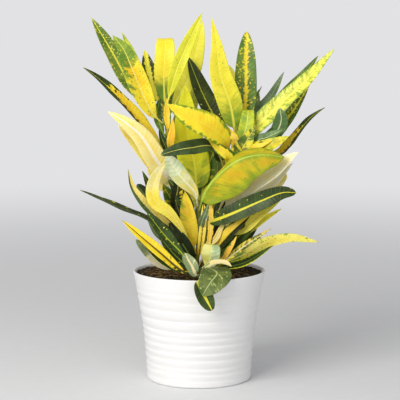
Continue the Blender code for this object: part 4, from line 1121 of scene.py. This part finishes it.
shell = bmesh.new()
bmesh.ops.create_circle(shell, cap_ends=True, segments=96, radius=3.5)
floor_mesh = bpy.data.meshes.new("floor")
shell.to_mesh(floor_mesh)
shell.free()
floor = bpy.data.objects.new("floor", floor_mesh)
floor.location.z = -0.0002
bpy.context.scene.collection.objects.link(floor)
paper, tree, shader = surface("pale matt studio floor", {"Roughness": 0.7, "IOR": 1.4})
place = add(tree, "ShaderNodeTexCoord").outputs["Object"]
reach = add(tree, "ShaderNodeVectorMath", {0: place}, operation="LENGTH").outputs["Value"]
fleck = add(tree, "ShaderNodeTexNoise", {"Vector": place, "Scale": 60.0, "Detail": 2.0})
tint = add(tree, "ShaderNodeMix", {0: fleck.outputs["Fac"], 6: linear("#DFE0E1"), 7: linear("#E5E5E6")},
           data_type="RGBA")
tree.links.new(tint.outputs[2], shader.inputs["Base Color"])
glow = add(tree, "ShaderNodeEmission", {"Color": linear(ROOM), "Strength": 1.0})
fade = add(tree, "ShaderNodeMapRange", {"Value": reach, "From Min": 0.25, "From Max": 2.6},
           interpolation_type="SMOOTHSTEP")
both = add(tree, "ShaderNodeMixShader", {0: fade.outputs[0], 1: shader.outputs[0], 2: glow.outputs[0]})
tree.links.new(both.outputs[0], tree.nodes["Material Output"].inputs["Surface"])
floor_mesh.materials.append(paper)


def soft_light(name, place, size, watts, colour):
    """A square area light aimed at the middle of the plant."""
    lamp = bpy.data.lights.new(name, "AREA")
    lamp.size = size
    lamp.energy = watts
    lamp.color = linear(colour)[:3]
    made = bpy.data.objects.new(name, lamp)
    made.location = place
    made.rotation_euler = (Vector((0.0, 0.0, 0.22)) - made.location).to_track_quat("-Z", "Y").to_euler()
    bpy.context.scene.collection.objects.link(made)


soft_light("window", (-1.05, -1.5, 1.25), 1.3, 33.0, "#FFFDF8")
soft_light("skylight", (-0.2, -0.4, 1.9), 1.3, 4.0, "#FFFFFF")
soft_light("fill", (0.7, -1.9, 0.75), 1.2, 5.0, "#F4F6FF")

# the eye: 1.8 m in front, a little above the pot, with a long lens
camera = bpy.data.objects.new("camera", bpy.data.cameras.new("camera"))
camera.data.sensor_width = 36.0
camera.data.lens = 127.6
camera.location = (0.0012, -1.8, 0.435)
camera.rotation_euler = (math.radians(83.5), 0.0, 0.0)
bpy.context.scene.collection.objects.link(camera)
bpy.context.scene.camera = camera
bpy.context.scene.view_settings.view_transform = "Standard"
